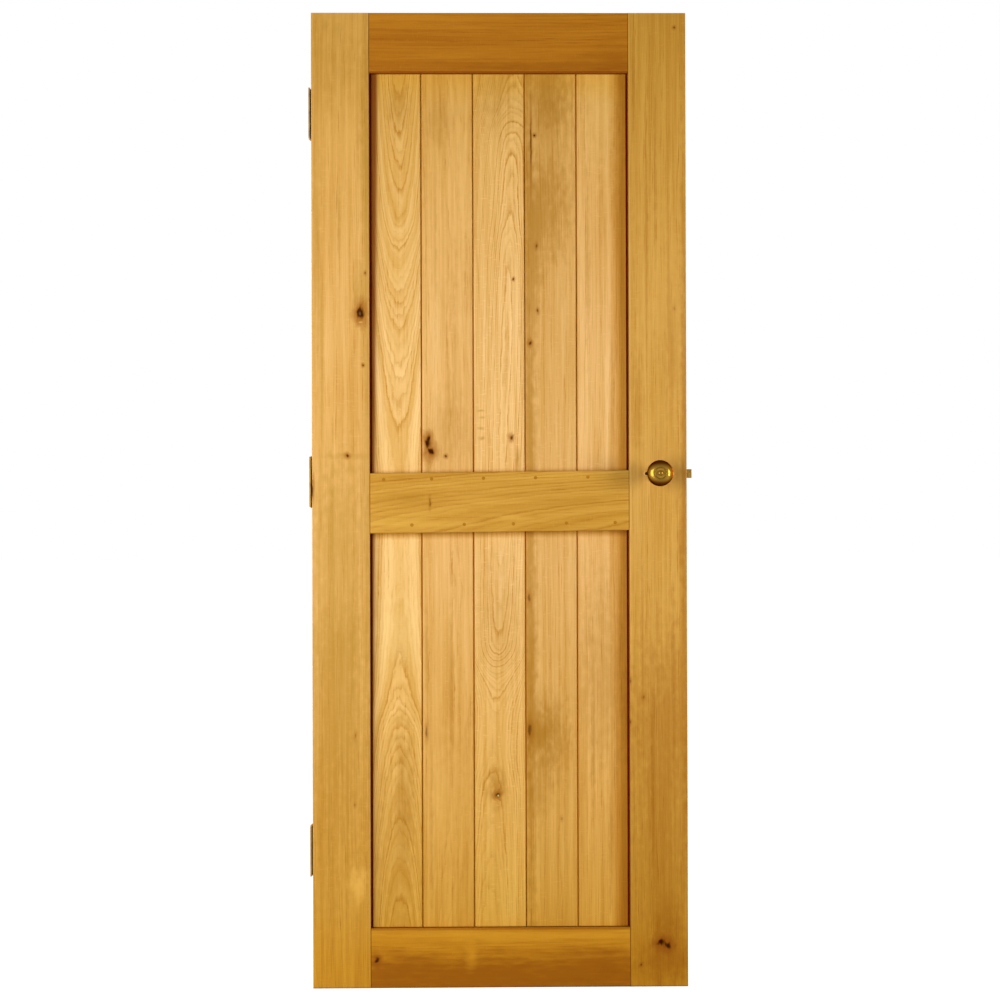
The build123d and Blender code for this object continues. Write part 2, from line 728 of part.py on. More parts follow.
def knob_profile():
    rest = ROSE_THICKNESS + NECK_CLEARANCE
    cove = rest + SHOULDER_EDGE
    neck = cove + COVE_HEIGHT
    head = rest + NECK_LENGTH
    dome = KNOB_FRONT - RING_DEPTH
    ring = RING_RADIUS - RING_WIDTH
    button = BUTTON_RADIUS - BUTTON_GROOVE_WIDTH / 2
    groove_out = BUTTON_RADIUS + BUTTON_GROOVE_WIDTH / 2
    step = dome + BUTTON_STEP
    with BuildSketch() as profile:
        with BuildLine():
            Polyline(
                (0, SPIGOT_START),
                (SPIGOT_RADIUS, SPIGOT_START),
                (SPIGOT_RADIUS, rest),
                (SHOULDER_RADIUS, rest),
                (SHOULDER_RADIUS, cove),
            )
            ThreePointArc(
                (SHOULDER_RADIUS, cove),
                (NECK_RADIUS + COVE_HOLLOW, cove + COVE_HEIGHT / 2),
                (NECK_RADIUS, neck),
            )
            Line((NECK_RADIUS, neck), (NECK_RADIUS, head))
            Spline(
                (NECK_RADIUS, head),
                ((NECK_RADIUS + KNOB_RADIUS) / 2, KNOB_BACK),
                (KNOB_RADIUS, KNOB_WIDEST),
                tangents=((0, 1), (0, 1)),
            )
            Spline(
                (KNOB_RADIUS, KNOB_WIDEST),
                ((KNOB_RADIUS + RING_RADIUS) / 2 + KNOB_SHOULDER_OUT, KNOB_SHOULDER_HEIGHT),
                (RING_RADIUS, dome),
                tangents=((0, 1), (-1, 0.05)),
            )
            ring_middle = (RING_RADIUS - RING_WIDTH / 2, dome - RING_DEPTH)
            ThreePointArc((RING_RADIUS, dome), ring_middle, (ring, dome))
            Line((ring, dome), (groove_out, step))
            ThreePointArc((groove_out, step), (BUTTON_RADIUS, step - BUTTON_GROOVE_DEPTH), (button, step))
            dome_arc(button, step, KNOB_FRONT - step)
            Line((0, KNOB_FRONT), (0, SPIGOT_START))
        make_face()
    return profile.sketch


def knob():
    side = SPINDLE_SIDE + 2 * SPINDLE_FIT
    depth = SOCKET_DEPTH + SOCKET_ROOM
    socket = block(-side / 2, side / 2, -depth, 0, -side / 2, side / 2)
    body = turned(knob_profile()) - Pos(KNOB_X, -FACE, KNOB_HEIGHT) * socket
    return body - grub_screw(True)


def grub_screw(hole=False):
    """The headless screw under the neck that grips the spindle; as a hole, it runs out of the neck."""
    cove_top = SHOULDER_EDGE + COVE_HEIGHT
    y = -FACE - ROSE_THICKNESS - NECK_CLEARANCE - (cove_top + NECK_LENGTH) / 2
    top = KNOB_HEIGHT - SPINDLE_SIDE / 2
    if hole:
        return rod(KNOB_X, y, top, GRUB_RADIUS + SPINDLE_FIT, KNOB_RADIUS, (0, 0, -1))
    foot = Plane(origin=(KNOB_X, y, top - GRUB_LENGTH), z_dir=(0, 0, 1))
    key = extrude(foot * RegularPolygon(GRUB_KEY_RADIUS, 6), GRUB_LENGTH / 2)
    return rod(KNOB_X, y, top, GRUB_RADIUS, GRUB_LENGTH, (0, 0, -1)) - key


def rose_profile():
    bore = SPIGOT_RADIUS + ROSE_FIT
    bead_top = ROSE_EDGE + ROSE_BEAD_RADIUS
    plate_radius = ROSE_RADIUS - ROSE_BEAD_RADIUS
    curve_radius = ROSE_COLLAR_RADIUS + ROSE_CURVE_WIDTH
    plate = bead_top + ROSE_PLATE_RISE
    with BuildSketch() as profile:
        with BuildLine():
            Polyline((bore, 0), (ROSE_RADIUS, 0), (ROSE_RADIUS, ROSE_EDGE))
            RadiusArc((ROSE_RADIUS, ROSE_EDGE), (plate_radius, bead_top), -ROSE_BEAD_RADIUS)
            Line((plate_radius, bead_top), (curve_radius, plate))
            ThreePointArc(
                (curve_radius, plate),
                (ROSE_COLLAR_RADIUS + ROSE_CURVE_HOLLOW, plate + ROSE_CURVE_LIFT),
                (ROSE_COLLAR_RADIUS, ROSE_THICKNESS),
            )
            Polyline((ROSE_COLLAR_RADIUS, ROSE_THICKNESS), (bore, ROSE_THICKNESS), (bore, 0))
        make_face()
    return profile.sketch


def rose():
    """A turned rose with an ear on each side for its screw."""
    ears = Plane.XZ * SlotCenterToCenter(2 * ROSE_SCREW_RADIUS, 2 * ROSE_EAR_RADIUS)
    ears = Pos(KNOB_X, -FACE, KNOB_HEIGHT) * extrude(ears, ROSE_EAR_THICKNESS)
    ears -= rod(KNOB_X, -FACE - ROSE_THICKNESS, KNOB_HEIGHT, SPIGOT_RADIUS + ROSE_FIT, FACE, (0, 1, 0))
    body = turned(rose_profile()) + ears
    y = -FACE - ROSE_SCREW_LEVEL
    for across in (-1, 1):
        x = KNOB_X + across * ROSE_SCREW_RADIUS
        body -= rose_screw(across, SCREW_FIT)
        body -= rod(x, y, KNOB_HEIGHT, ROSE_SCREW_HEAD + SCREW_FIT, ROSE_THICKNESS, (0, -1, 0))
    return body


def rose_screw(across, clearance=0.0):
    x = KNOB_X + across * ROSE_SCREW_RADIUS
    y = -FACE - ROSE_SCREW_LEVEL
    head = ROSE_SCREW_HEAD
    return screw(x, y, KNOB_HEIGHT, (0, 1, 0), ROSE_SCREW_HOLE, head, ROSE_SCREW_LENGTH, clearance)


# Writing the pieces

write(hinge_stile(), "hinge_stile")
write(latch_stile(), "latch_stile")
write(cross_rail("top"), "top_rail")
write(cross_rail("bottom"), "bottom_rail")
write(mid_rail(-1), "front_mid_rail")
write(mid_rail(1), "back_mid_rail")
for i in range(BOARD_COUNT):
    write(board(i), f"board_{i + 1}")
write(pegs(), "rail_pegs")
write(tenon_wedges(), "tenon_wedges")
for place, height in HINGE_HEIGHTS.items():
    write(flap("leaf", height), f"{place}_hinge_leaf_flap")
    write(flap("frame", height), f"{place}_hinge_frame_flap")
    write(hinge_pin(height), f"{place}_hinge_pin")
write(hinge_screws(), "hinge_screws")
write(latch_case(), "latch_case")
write(forend(), "latch_forend")
write(Compound(children=[forend_screw(up) for up in (-1, 1)]), "forend_screws")
write(latch_bolt(), "latch_bolt")
write(latch_follower(), "latch_follower")
write(latch_spring(), "latch_spring")
write(spindle(), "spindle")
write(knob(), "front_knob")
write(rose(), "front_rose")
write(to_back(knob()), "back_knob")
write(to_back(rose()), "back_rose")
write(Compound(children=both_faces([rose_screw(across) for across in (-1, 1)])), "rose_screws")
write(Compound(children=both_faces([grub_screw()])), "knob_grub_screws")
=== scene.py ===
import math

import bpy
from mathutils import Matrix, Vector

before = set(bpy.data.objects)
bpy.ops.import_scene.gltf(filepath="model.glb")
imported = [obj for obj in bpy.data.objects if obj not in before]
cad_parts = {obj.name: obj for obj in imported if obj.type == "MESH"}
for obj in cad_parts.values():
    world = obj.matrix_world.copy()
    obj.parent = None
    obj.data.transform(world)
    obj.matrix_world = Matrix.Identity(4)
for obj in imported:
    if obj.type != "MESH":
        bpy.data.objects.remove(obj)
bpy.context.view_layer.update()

MM = 0.001

# Sizes that the finishes follow, in millimetres


def end_of(name, axis, end):
    """The least or the greatest place of a CAD node along an axis, to a hundredth of a millimetre."""
    return round(end(vertex.co[axis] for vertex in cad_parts[name].data.vertices) / MM, 2)


X, Y, Z = 0, 1, 2
OPENING = -end_of("hinge_stile", X, max)
BOARD_FACE = -end_of("board_3", Y, min)
TOP_RAIL_EDGE = end_of("top_rail", Z, min)
BOTTOM_RAIL_EDGE = end_of("bottom_rail", Z, max)
KNOB_X = (end_of("front_knob", X, min) + end_of("front_knob", X, max)) / 2
KNOB_Z = (end_of("front_knob", Z, min) + end_of("front_knob", Z, max)) / 2

# The mid rail rises to the right, and its edges are taken at the middle of the leaf
MID_RAIL_RISE = 5.3
MID_RAIL_SLOPE = MID_RAIL_RISE / (2 * OPENING)
MID_RAIL_FOOT = end_of("front_mid_rail", Z, min) + MID_RAIL_RISE / 2
MID_RAIL_HEAD = end_of("front_mid_rail", Z, max) - MID_RAIL_RISE / 2

# Marks on the boards stay between these heights, no further than this to the sides of the leaf's middle and
# no further than this in front of its core or behind it
PANEL_FOOT = BOTTOM_RAIL_EDGE + 1.0
PANEL_HEAD = TOP_RAIL_EDGE + 0.5
PANEL_SIDE = OPENING + 0.05
BOARD_DEPTH = BOARD_FACE + 0.5


# Nodes and colours


def hex_colour(code):
    """An sRGB hex colour as linear red, green, blue and alpha."""
    channels = [int(code[i : i + 2], 16) / 255 for i in (1, 3, 5)]
    linear = [c / 12.92 if c <= 0.04045 else ((c + 0.055) / 1.055) ** 2.4 for c in channels]
    return (*linear, 1.0)


def tinted(code, share):
    """A colour with its linear red, green and blue each taken to a share."""
    red, green, blue, alpha = hex_colour(code)
    return (min(red * share[0], 1.0), min(green * share[1], 1.0), min(blue * share[2], 1.0), alpha)


def add(tree, kind, inputs=None, **settings):
    """Adds one shader node with its settings; an input is a value, a node's first output or a named output.
    A mix of colours has its amount at 0 and its colours at 6 and 7, and gives its result at output 2."""
    node = tree.nodes.new("ShaderNode" + kind)
    for name, value in settings.items():
        setattr(node, name, value)
    for socket, source in (inputs or {}).items():
        if isinstance(source, bpy.types.Node):
            source = source.outputs[0]
        if isinstance(source, bpy.types.NodeSocket):
            tree.links.new(source, node.inputs[socket])
        else:
            node.inputs[socket].default_value = source
    return node


def new_material(name):
    """A material with an empty tree and its output node."""
    material = bpy.data.materials.new(name)
    material.use_nodes = True
    tree = material.node_tree
    tree.nodes.clear()
    return material, tree, add(tree, "OutputMaterial")


def dress(names, material):
    """Gives CAD nodes a material."""
    for name in names:
        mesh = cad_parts[name].data
        mesh.materials.clear()
        mesh.materials.append(material)


def place_in_millimetres(tree):
    """The place on the piece, in the door's own frame."""
    place = add(tree, "TexCoord").outputs["Object"]
    return add(tree, "VectorMath", {0: place, 1: (1 / MM,) * 3}, operation="MULTIPLY")


def stretched_noise(tree, place, repeats, offset=(0.0, 0.0, 0.0), **inputs):
    """Noise with its own number of repeats in a millimetre each way."""
    at = add(tree, "VectorMath", {0: place, 1: repeats, 2: offset}, operation="MULTIPLY_ADD")
    return add(tree, "TexNoise", {"Vector": at, "Scale": 1.0, **inputs})


def centred(tree, noise):
    """A noise's three channels, each about nought."""
    return add(tree, "VectorMath", {0: noise.outputs["Color"], 1: (0.5, 0.5, 0.5)}, operation="SUBTRACT")


# Oak, planed and oiled. Oil darkens the open pores of each spring's growth, so the eye sees growth rings as
# fine brown lines on honey-coloured wood, with satin light on the planed face. Real pores are a quarter of a
# millimetre wide and real rings one to three; both are drawn coarser here, so that they show.

# Widths and lengths of patterns in millimetres, and a ragged edge's repeats in a millimetre
RING_WIDTH = 3.6
PORE_LENGTH = 62.0
PORE_WIDTH = 2.3
STREAK_LENGTH = 340.0
STREAK_WIDTH = 6.5
FLECK_LENGTH = 14.0
FLECK_WIDTH = 2.6
BEND_LENGTH = 520.0
BEND_WIDTH = 90.0
JAG_LENGTH = 34.0
JAG_WIDTH = 9.0
RAGGED_UPRIGHT = (0.09, 0.09, 0.045)
RAGGED_LEVEL = (0.02, 0.09, 0.09)

# Each piece takes its own part of the noise, this far on from the piece before
SEED_STEP = (17.3, 5.1, 9.7)

# Noise keeps near its middle, and these bring it up to a full bend or jag
BEND_DEPTH_GAIN = 2.4
BEND_SIDE_GAIN = 3.0
JAG_GAIN = 4.0

# Levels of noise between which each pattern goes from none to full
PORE_LEVELS = (0.52, 0.7)
FLECK_LEVELS = (0.6, 0.75)
YEARS_LEVELS = (0.34, 0.66)
BROAD_LEVELS = (-0.16, 0.16)
STREAK_SPREAD = 0.17
YEARS_SCALE = 0.36
BROAD_SHARE = 0.45

# A ring is faintest after a dry year, and a wet year adds to it. Fewer pores lie outside the spring's wood.
DRY_YEAR = 0.25
WET_YEAR_ADDS = 0.8
WET_YEAR_POWER = 1.5
PORES_OUTSIDE_SPRING = 0.25

# One ring from spring to winter: share of the year, and how dark its pores make it
SEASONS = ((0.0, 0.25), (0.14, 1.0), (0.34, 0.6), (0.66, 0.15), (1.0, 0.2))

# Knots and stains are ragged ovals, and these are shares of an oval's own size, from full to none
HEART_EDGE = (0.35, 1.15)
RIM_EDGE = (0.6, 3.2)
STAIN_EDGE = (0.0, 1.3)
KNOT_RAGGEDNESS = 2.2
STAIN_RAGGEDNESS = 1.4
RINGS_PUSHED = 1.6
RIM_STRENGTH = 0.88
STAIN_GAIN = 1.2

# The planed face: its depth of pores in millimetres, how low the pores and the rings lie in that, and its
# shine
PORE_DEPTH = 0.15
PORES_LOW = -0.5
RINGS_LOW = -0.3
PLANED_STRENGTH = 0.25
PLANED_ROUGHNESS = 0.46
PORE_ROUGHNESS = 0.6
OIL_IOR = 1.5
OILED_SHEEN = 0.1

# Colours of marks
KNOT_HEART = "#421a02"
KNOT_RIM = "#a2600c"
STAIN = "#b07a20"
JOINT_OIL = "#b8761c"
JOINT_DIRT = "#b8501c"
CLOSED_JOINT = "#6e3a0c"

# Shares of the wood's own colour: red, green and blue
PALER = (1.13, 1.2, 1.4)
DARKER = (0.84, 0.76, 0.52)
LINE = (0.66, 0.49, 0.2)
# Pale marks, and a painted highlight along the latch stile's arris
FADED_AND_HIGHLIGHT = (1.3, 1.42, 1.8)

# Layers which the colour below is multiplied by: painted shade, and browner wood just above the floor
# Painted shade: darker and more amber towards the leaf's head and foot
END_SHADE = (0.84, 0.745, 0.31, 1.0)
# Browner wood just above the floor
FOOT_BROWNING = (0.97, 0.9, 0.55, 1.0)
# Painted shadow of the latch stile on the boards
LATCH_STILE_SHADOW = (0.81, 0.62, 0.22, 1.0)
# Painted shadow of the hinge stile on the boards, wider higher up
HINGE_STILE_SHADOW = (0.39, 0.2, 0.06, 1.0)
# Painted shade on the boards under the top rail
TOP_RAIL_SHADE = (0.97, 0.93, 0.66, 1.0)
# Painted lines of shade along the rails' edges and the leaf's foot
RAIL_SHADE_LINE = (0.5, 0.32, 0.12, 1.0)
# Painted shadow under the mid rail, and painted shade in the corner just above it
MID_RAIL_SHADE = (0.58, 0.46, 0.14, 1.0)

# Heights between which the painted shade goes from none to full towards the foot and the head, and the wood
# from plain to browner just above the floor, in millimetres from the foot of the leaf
FOOT_SHADE = (850.0, 120.0)
HEAD_SHADE = (1350.0, 1900.0)
HEAD_SHADE_SHARE = 0.62
FOOT_BROWNING_SPAN = (170.0, 30.0)

# Painted shadows of the stiles and the top rail on the boards, in millimetres from the opening's edge: where
# they start and where they are full. Beside the hinge stile they reach further out by a share of the height.
LATCH_SHADOW_SPAN = (42.0, 13.0)
TOP_RAIL_SHADE_SPAN = (75.0, 5.0)
HINGE_SHADOW_SPAN = (5.3, -4.2)
HINGE_SHADOW_TAPER = 0.009

# Dirt in the V-joints: how far behind the boards' face it starts and is full, how wide beside the stiles the
# dirtier joints are, and how much further behind the face the joint at the latch stile is dirty
JOINT_DEPTHS = (0.4, 2.2)
STILE_JOINT_WIDTH = 8.0
LATCH_JOINT_DEPTH = 1.6

# The line of old oil at a rail's shoulder: how far from the joint, in millimetres, it is full and gone, and
# how strong it is
SHOULDER_LINE = (0.5, 1.0)
SHOULDER_STRENGTH = 0.7


def along_grain(along, length, width):
    """A pattern's repeats in a millimetre each way, from its length along the grain and its width."""
    if along == "Z":
        return (1 / width, 1 / width, 1 / length)
    return (1 / length, 1 / width, 1 / width)


def pith_depth(tree, at, rise, depth):
    """The depth of the pith behind the face, which changes along the piece by the steps of the rise."""
    low = min(added for _, added in rise)
    span = max(max(added for _, added in rise) - low, 1e-6)
    first, last = rise[0][0], rise[-1][0]
    share = add(tree, "MapRange", {"Value": at, "From Min": first, "From Max": last})
    curve = add(tree, "FloatCurve", {"Value": share})
    points = curve.mapping.curves[0].points
    while len(points) < len(rise):
        points.new(0.5, 0.5)
    for point, (spot, added) in zip(points, rise):
        point.location = ((spot - first) / (last - first), (added - low) / span)
    curve.mapping.update()
    return add(tree, "Math", {0: curve, 1: span, 2: depth + low}, operation="MULTIPLY_ADD")


def distance_from_pith(tree, place, along, offset, bends, pith, rise, wander, jagged, narrow, lean):
    """How far the wood lies from the pith, which growth rings follow. Slow bends move the rings about, and
    small jags give them the teeth that plain-sawn oak shows."""
    parts = add(tree, "SeparateXYZ", {0: place})
    bend = add(tree, "SeparateXYZ", {0: bends})
    across, length = ("X", "Z") if along == "Z" else ("Z", "X")
    depth = pith_depth(tree, parts.outputs[length], rise, pith[1])
    deeper = wander * BEND_DEPTH_GAIN
    depth = add(tree, "Math", {0: bend.outputs[1], 1: deeper, 2: depth}, operation="MULTIPLY_ADD")
    depth = add(tree, "Math", {0: depth, 1: parts.outputs["Y"]}, operation="SUBTRACT")
    jags = stretched_noise(
        tree, place, along_grain(along, JAG_LENGTH, JAG_WIDTH), offset, Detail=3.0, Roughness=0.6
    )
    depth = add(tree, "Math", {0: jags, 1: jagged * JAG_GAIN, 2: depth}, operation="MULTIPLY_ADD")
    axis = add(tree, "Math", {0: parts.outputs[length], 1: lean, 2: pith[0]}, operation="MULTIPLY_ADD")
    side = add(tree, "Math", {0: parts.outputs[across], 1: axis}, operation="SUBTRACT")
    sideways = wander * BEND_SIDE_GAIN
    side = add(tree, "Math", {0: bend.outputs[0], 1: sideways, 2: side}, operation="MULTIPLY_ADD")
    side = add(tree, "Math", {0: side, 1: narrow}, operation="MULTIPLY")
    section = add(tree, "CombineXYZ", {0: side, 1: depth})
    return add(tree, "VectorMath", {0: section}, operation="LENGTH").outputs["Value"]


def from_oval(tree, place, ragged, raggedness, x, z, half_width, half_height):
    """How far a place is from the middle of a ragged oval, one at its edge."""
    size = (1 / half_width, 0.0, 1 / half_height)
    centre = (-x / half_width, 0.0, -z / half_height)
    local = add(tree, "VectorMath", {0: place, 1: size, 2: centre}, operation="MULTIPLY_ADD")
    shift = (raggedness, 0.0, raggedness)
    local = add(tree, "VectorMath", {0: ragged, 1: shift, 2: local}, operation="MULTIPLY_ADD")
    return add(tree, "VectorMath", {0: local}, operation="LENGTH").outputs["Value"]


def knotted(tree, place, ragged, radius, knots):
    """The rings' radius pushed aside by the knots, and how much each place is a knot's heart or its rim."""
    hearts = 0.0
    rims = 0.0
    for x, z, half_width, half_height, strength in knots:
        distance = from_oval(tree, place, ragged, KNOT_RAGGEDNESS, x, z, half_width, half_height)
        heart, rim = (
            add(
                tree,
                "MapRange",
                {"Value": distance, "From Min": start, "From Max": end, "To Min": strength, "To Max": 0.0},
                interpolation_type="SMOOTHSTEP",
            )
            for start, end in (HEART_EDGE, RIM_EDGE)
        )
        push = half_width * RINGS_PUSHED
        radius = add(tree, "Math", {0: rim, 1: push, 2: radius}, operation="MULTIPLY_ADD")
        hearts = add(tree, "Math", {0: hearts, 1: heart}, operation="MAXIMUM")
        rims = add(tree, "Math", {0: rims, 1: rim}, operation="MAXIMUM")
    return radius, hearts, rims


def stained(tree, place, ragged, colour, marks, tint):
    """The colour with soft-edged marks of a tint."""
    for x, z, half_width, half_height, strength in marks:
        distance = from_oval(tree, place, ragged, STAIN_RAGGEDNESS, x, z, half_width, half_height)
        most = min(abs(strength) * STAIN_GAIN, 1.0)
        full, none = STAIN_EDGE
        amount = add(
            tree,
            "MapRange",
            {"Value": distance, "From Min": full, "From Max": none, "To Min": most, "To Max": 0.0},
            interpolation_type="SMOOTHSTEP",
        )
        colour = add(tree, "Mix", {0: amount, 6: colour, 7: tint}, data_type="RGBA").outputs[2]
    return colour


def growth_rings(tree, years):
    """Rings that start sharply with spring's dark pores and return slowly to pale wood; a dry year's ring is
    fainter than a wet one's."""
    season = add(tree, "Math", {0: years}, operation="FRACT")
    year = add(tree, "Math", {0: years}, operation="FLOOR")
    weather = add(tree, "TexWhiteNoise", {"W": year}, noise_dimensions="1D")
    ramp = add(tree, "ValToRGB", {"Fac": season})
    stops = ramp.color_ramp.elements
    for position, _ in SEASONS[1:-1]:
        stops.new(position)
    for stop, (position, shade) in zip(stops, SEASONS):
        stop.position, stop.color = position, (shade, shade, shade, 1.0)
    strength = add(tree, "Math", {0: weather, 1: WET_YEAR_POWER}, operation="POWER")
    strength = add(tree, "Math", {0: strength, 1: WET_YEAR_ADDS, 2: DRY_YEAR}, operation="MULTIPLY_ADD")
    return add(tree, "Math", {0: ramp, 1: strength}, operation="MULTIPLY")


def tinted_from(tree, colour, value, start, end, strength, where, tint):
    """The colour multiplied by a tint, more and more as the value goes from the start to the end."""
    amount = add(
        tree,
        "MapRange",
        {"Value": value, "From Min": start, "From Max": end, "To Max": strength},
        interpolation_type="SMOOTHSTEP",
    )
    amount = add(tree, "Math", {0: amount, 1: where}, operation="MULTIPLY")
    mixed = add(tree, "Mix", {0: amount, 6: colour, 7: tint}, data_type="RGBA", blend_type="MULTIPLY")
    return mixed.outputs[2]


def aged(tree, colour, height):
    """The colour darker and more amber towards the head and the foot of the leaf, a painted shade where the
    lamps' light falls off, and browner just above the floor."""
    foot = add(tree, "MapRange", {"Value": height, "From Min": FOOT_SHADE[0], "From Max": FOOT_SHADE[1]})
    head = add(
        tree,
        "MapRange",
        {
            "Value": height,
            "From Min": HEAD_SHADE[0],
            "From Max": HEAD_SHADE[1],
            "To Max": HEAD_SHADE_SHARE,
        },
    )
    amount = add(tree, "Math", {0: foot, 1: head}, operation="MAXIMUM")
    colour = add(tree, "Mix", {0: amount, 6: colour, 7: END_SHADE}, data_type="RGBA", blend_type="MULTIPLY")
    return tinted_from(tree, colour.outputs[2], height, *FOOT_BROWNING_SPAN, 1.0, 1.0, FOOT_BROWNING)


def painted_frame_shade(tree, colour, parts, in_opening, on_board):
    """Painted shade on the boards: shadows of the stiles and of the top rail, and painted lines of shade
    along the rails' edges, under and above the mid rail and at the leaf's foot. In_opening and on_board are
    one where they hold and nought elsewhere."""
    from_mid_rail = add(
        tree,
        "Math",
        {0: parts.outputs["X"], 1: -MID_RAIL_SLOPE, 2: parts.outputs["Z"]},
        operation="MULTIPLY_ADD",
    )
    from_hinge_stile = add(
        tree,
        "Math",
        {0: parts.outputs["Z"], 1: -HINGE_SHADOW_TAPER, 2: parts.outputs["X"]},
        operation="MULTIPLY_ADD",
    )
    # Painted shadows on the boards: the latch stile's, the hinge stile's, which widens upwards, and the top
    # rail's
    for value, start, end, tint in (
        (parts.outputs["X"], OPENING - LATCH_SHADOW_SPAN[0], OPENING - LATCH_SHADOW_SPAN[1], LATCH_STILE_SHADOW),
        (from_hinge_stile, HINGE_SHADOW_SPAN[0] - OPENING, HINGE_SHADOW_SPAN[1] - OPENING, HINGE_STILE_SHADOW),
        (parts.outputs["Z"], TOP_RAIL_EDGE - TOP_RAIL_SHADE_SPAN[0], TOP_RAIL_EDGE - TOP_RAIL_SHADE_SPAN[1], TOP_RAIL_SHADE),
    ):
        colour = tinted_from(tree, colour, value, start, end, 1.0, on_board, tint)

    # Painted lines of shade along the top and bottom rails' edges and the leaf's foot, and painted shade
    # under
    # and above the mid rail: each line's middle, how far from it the line fades out and is full, its strength
    # and its tint
    for value, middle, fades, full, strength, where, tint in (
        (parts.outputs["Z"], TOP_RAIL_EDGE + 1.0, 3.4, 0.8, 0.85, in_opening, RAIL_SHADE_LINE),
        (parts.outputs["Z"], BOTTOM_RAIL_EDGE - 0.7, 5.0, 1.0, 0.62, in_opening, RAIL_SHADE_LINE),
        (parts.outputs["Z"], 0.0, 4.0, 0.8, 0.5, 1.0, RAIL_SHADE_LINE),
        (from_mid_rail, MID_RAIL_FOOT - 1.0, 15.0, 2.0, 0.8, on_board, MID_RAIL_SHADE),
        (from_mid_rail, MID_RAIL_HEAD, 9.0, 0.0, 0.3, on_board, MID_RAIL_SHADE),
    ):
        distance = add(tree, "Math", {0: value, 1: middle}, operation="SUBTRACT")
        distance = add(tree, "Math", {0: distance}, operation="ABSOLUTE")
        colour = tinted_from(tree, colour, distance, fades, full, strength, where, tint)
    return colour


def joint_dirt(tree, colour, parts, off_middle, off_core, in_panel):
    """The colour with old oil in the V-joints and dirt in the joints beside the stiles, and how much each
    place lies in a joint. The joint at the latch stile is dirty only in its depth."""
    beside_stile = OPENING - STILE_JOINT_WIDTH
    at_latch = add(tree, "Math", {0: parts.outputs["X"], 1: beside_stile}, operation="GREATER_THAN")
    level = add(tree, "Math", {0: at_latch, 1: LATCH_JOINT_DEPTH, 2: off_core}, operation="MULTIPLY_ADD")
    start, full = (BOARD_FACE - depth for depth in JOINT_DEPTHS)
    in_joint = add(tree, "MapRange", {"Value": level, "From Min": start, "From Max": full})
    in_joint = add(tree, "Math", {0: in_joint, 1: in_panel}, operation="MULTIPLY")
    at_stile = add(tree, "Math", {0: off_middle, 1: beside_stile}, operation="GREATER_THAN")
    dirt = add(
        tree,
        "Mix",
        {0: at_stile, 6: hex_colour(JOINT_OIL), 7: hex_colour(JOINT_DIRT)},
        data_type="RGBA",
    )
    colour = add(tree, "Mix", {0: in_joint, 6: colour, 7: dirt.outputs[2]}, data_type="RGBA")
    return colour.outputs[2], in_joint


def shoulder_lines(tree, colour, off_middle, off_core):
    """The colour with the line where a rail's shoulder meets the stile, stained by old oil."""
    distance = add(tree, "Math", {0: off_middle, 1: OPENING}, operation="SUBTRACT")
    distance = add(tree, "Math", {0: distance}, operation="ABSOLUTE")
    full, gone = SHOULDER_LINE
    line = add(
        tree,
        "MapRange",
        {
            "Value": distance,
            "From Min": full,
            "From Max": gone,
            "To Min": SHOULDER_STRENGTH,
            "To Max": 0.0,
        },
    )
    on_frame = add(tree, "Math", {0: off_core, 1: BOARD_DEPTH}, operation="GREATER_THAN")
    line = add(tree, "Math", {0: line, 1: on_frame}, operation="MULTIPLY")
    colour = add(tree, "Mix", {0: line, 6: colour, 7: hex_colour(CLOSED_JOINT)}, data_type="RGBA")
    return colour.outputs[2]


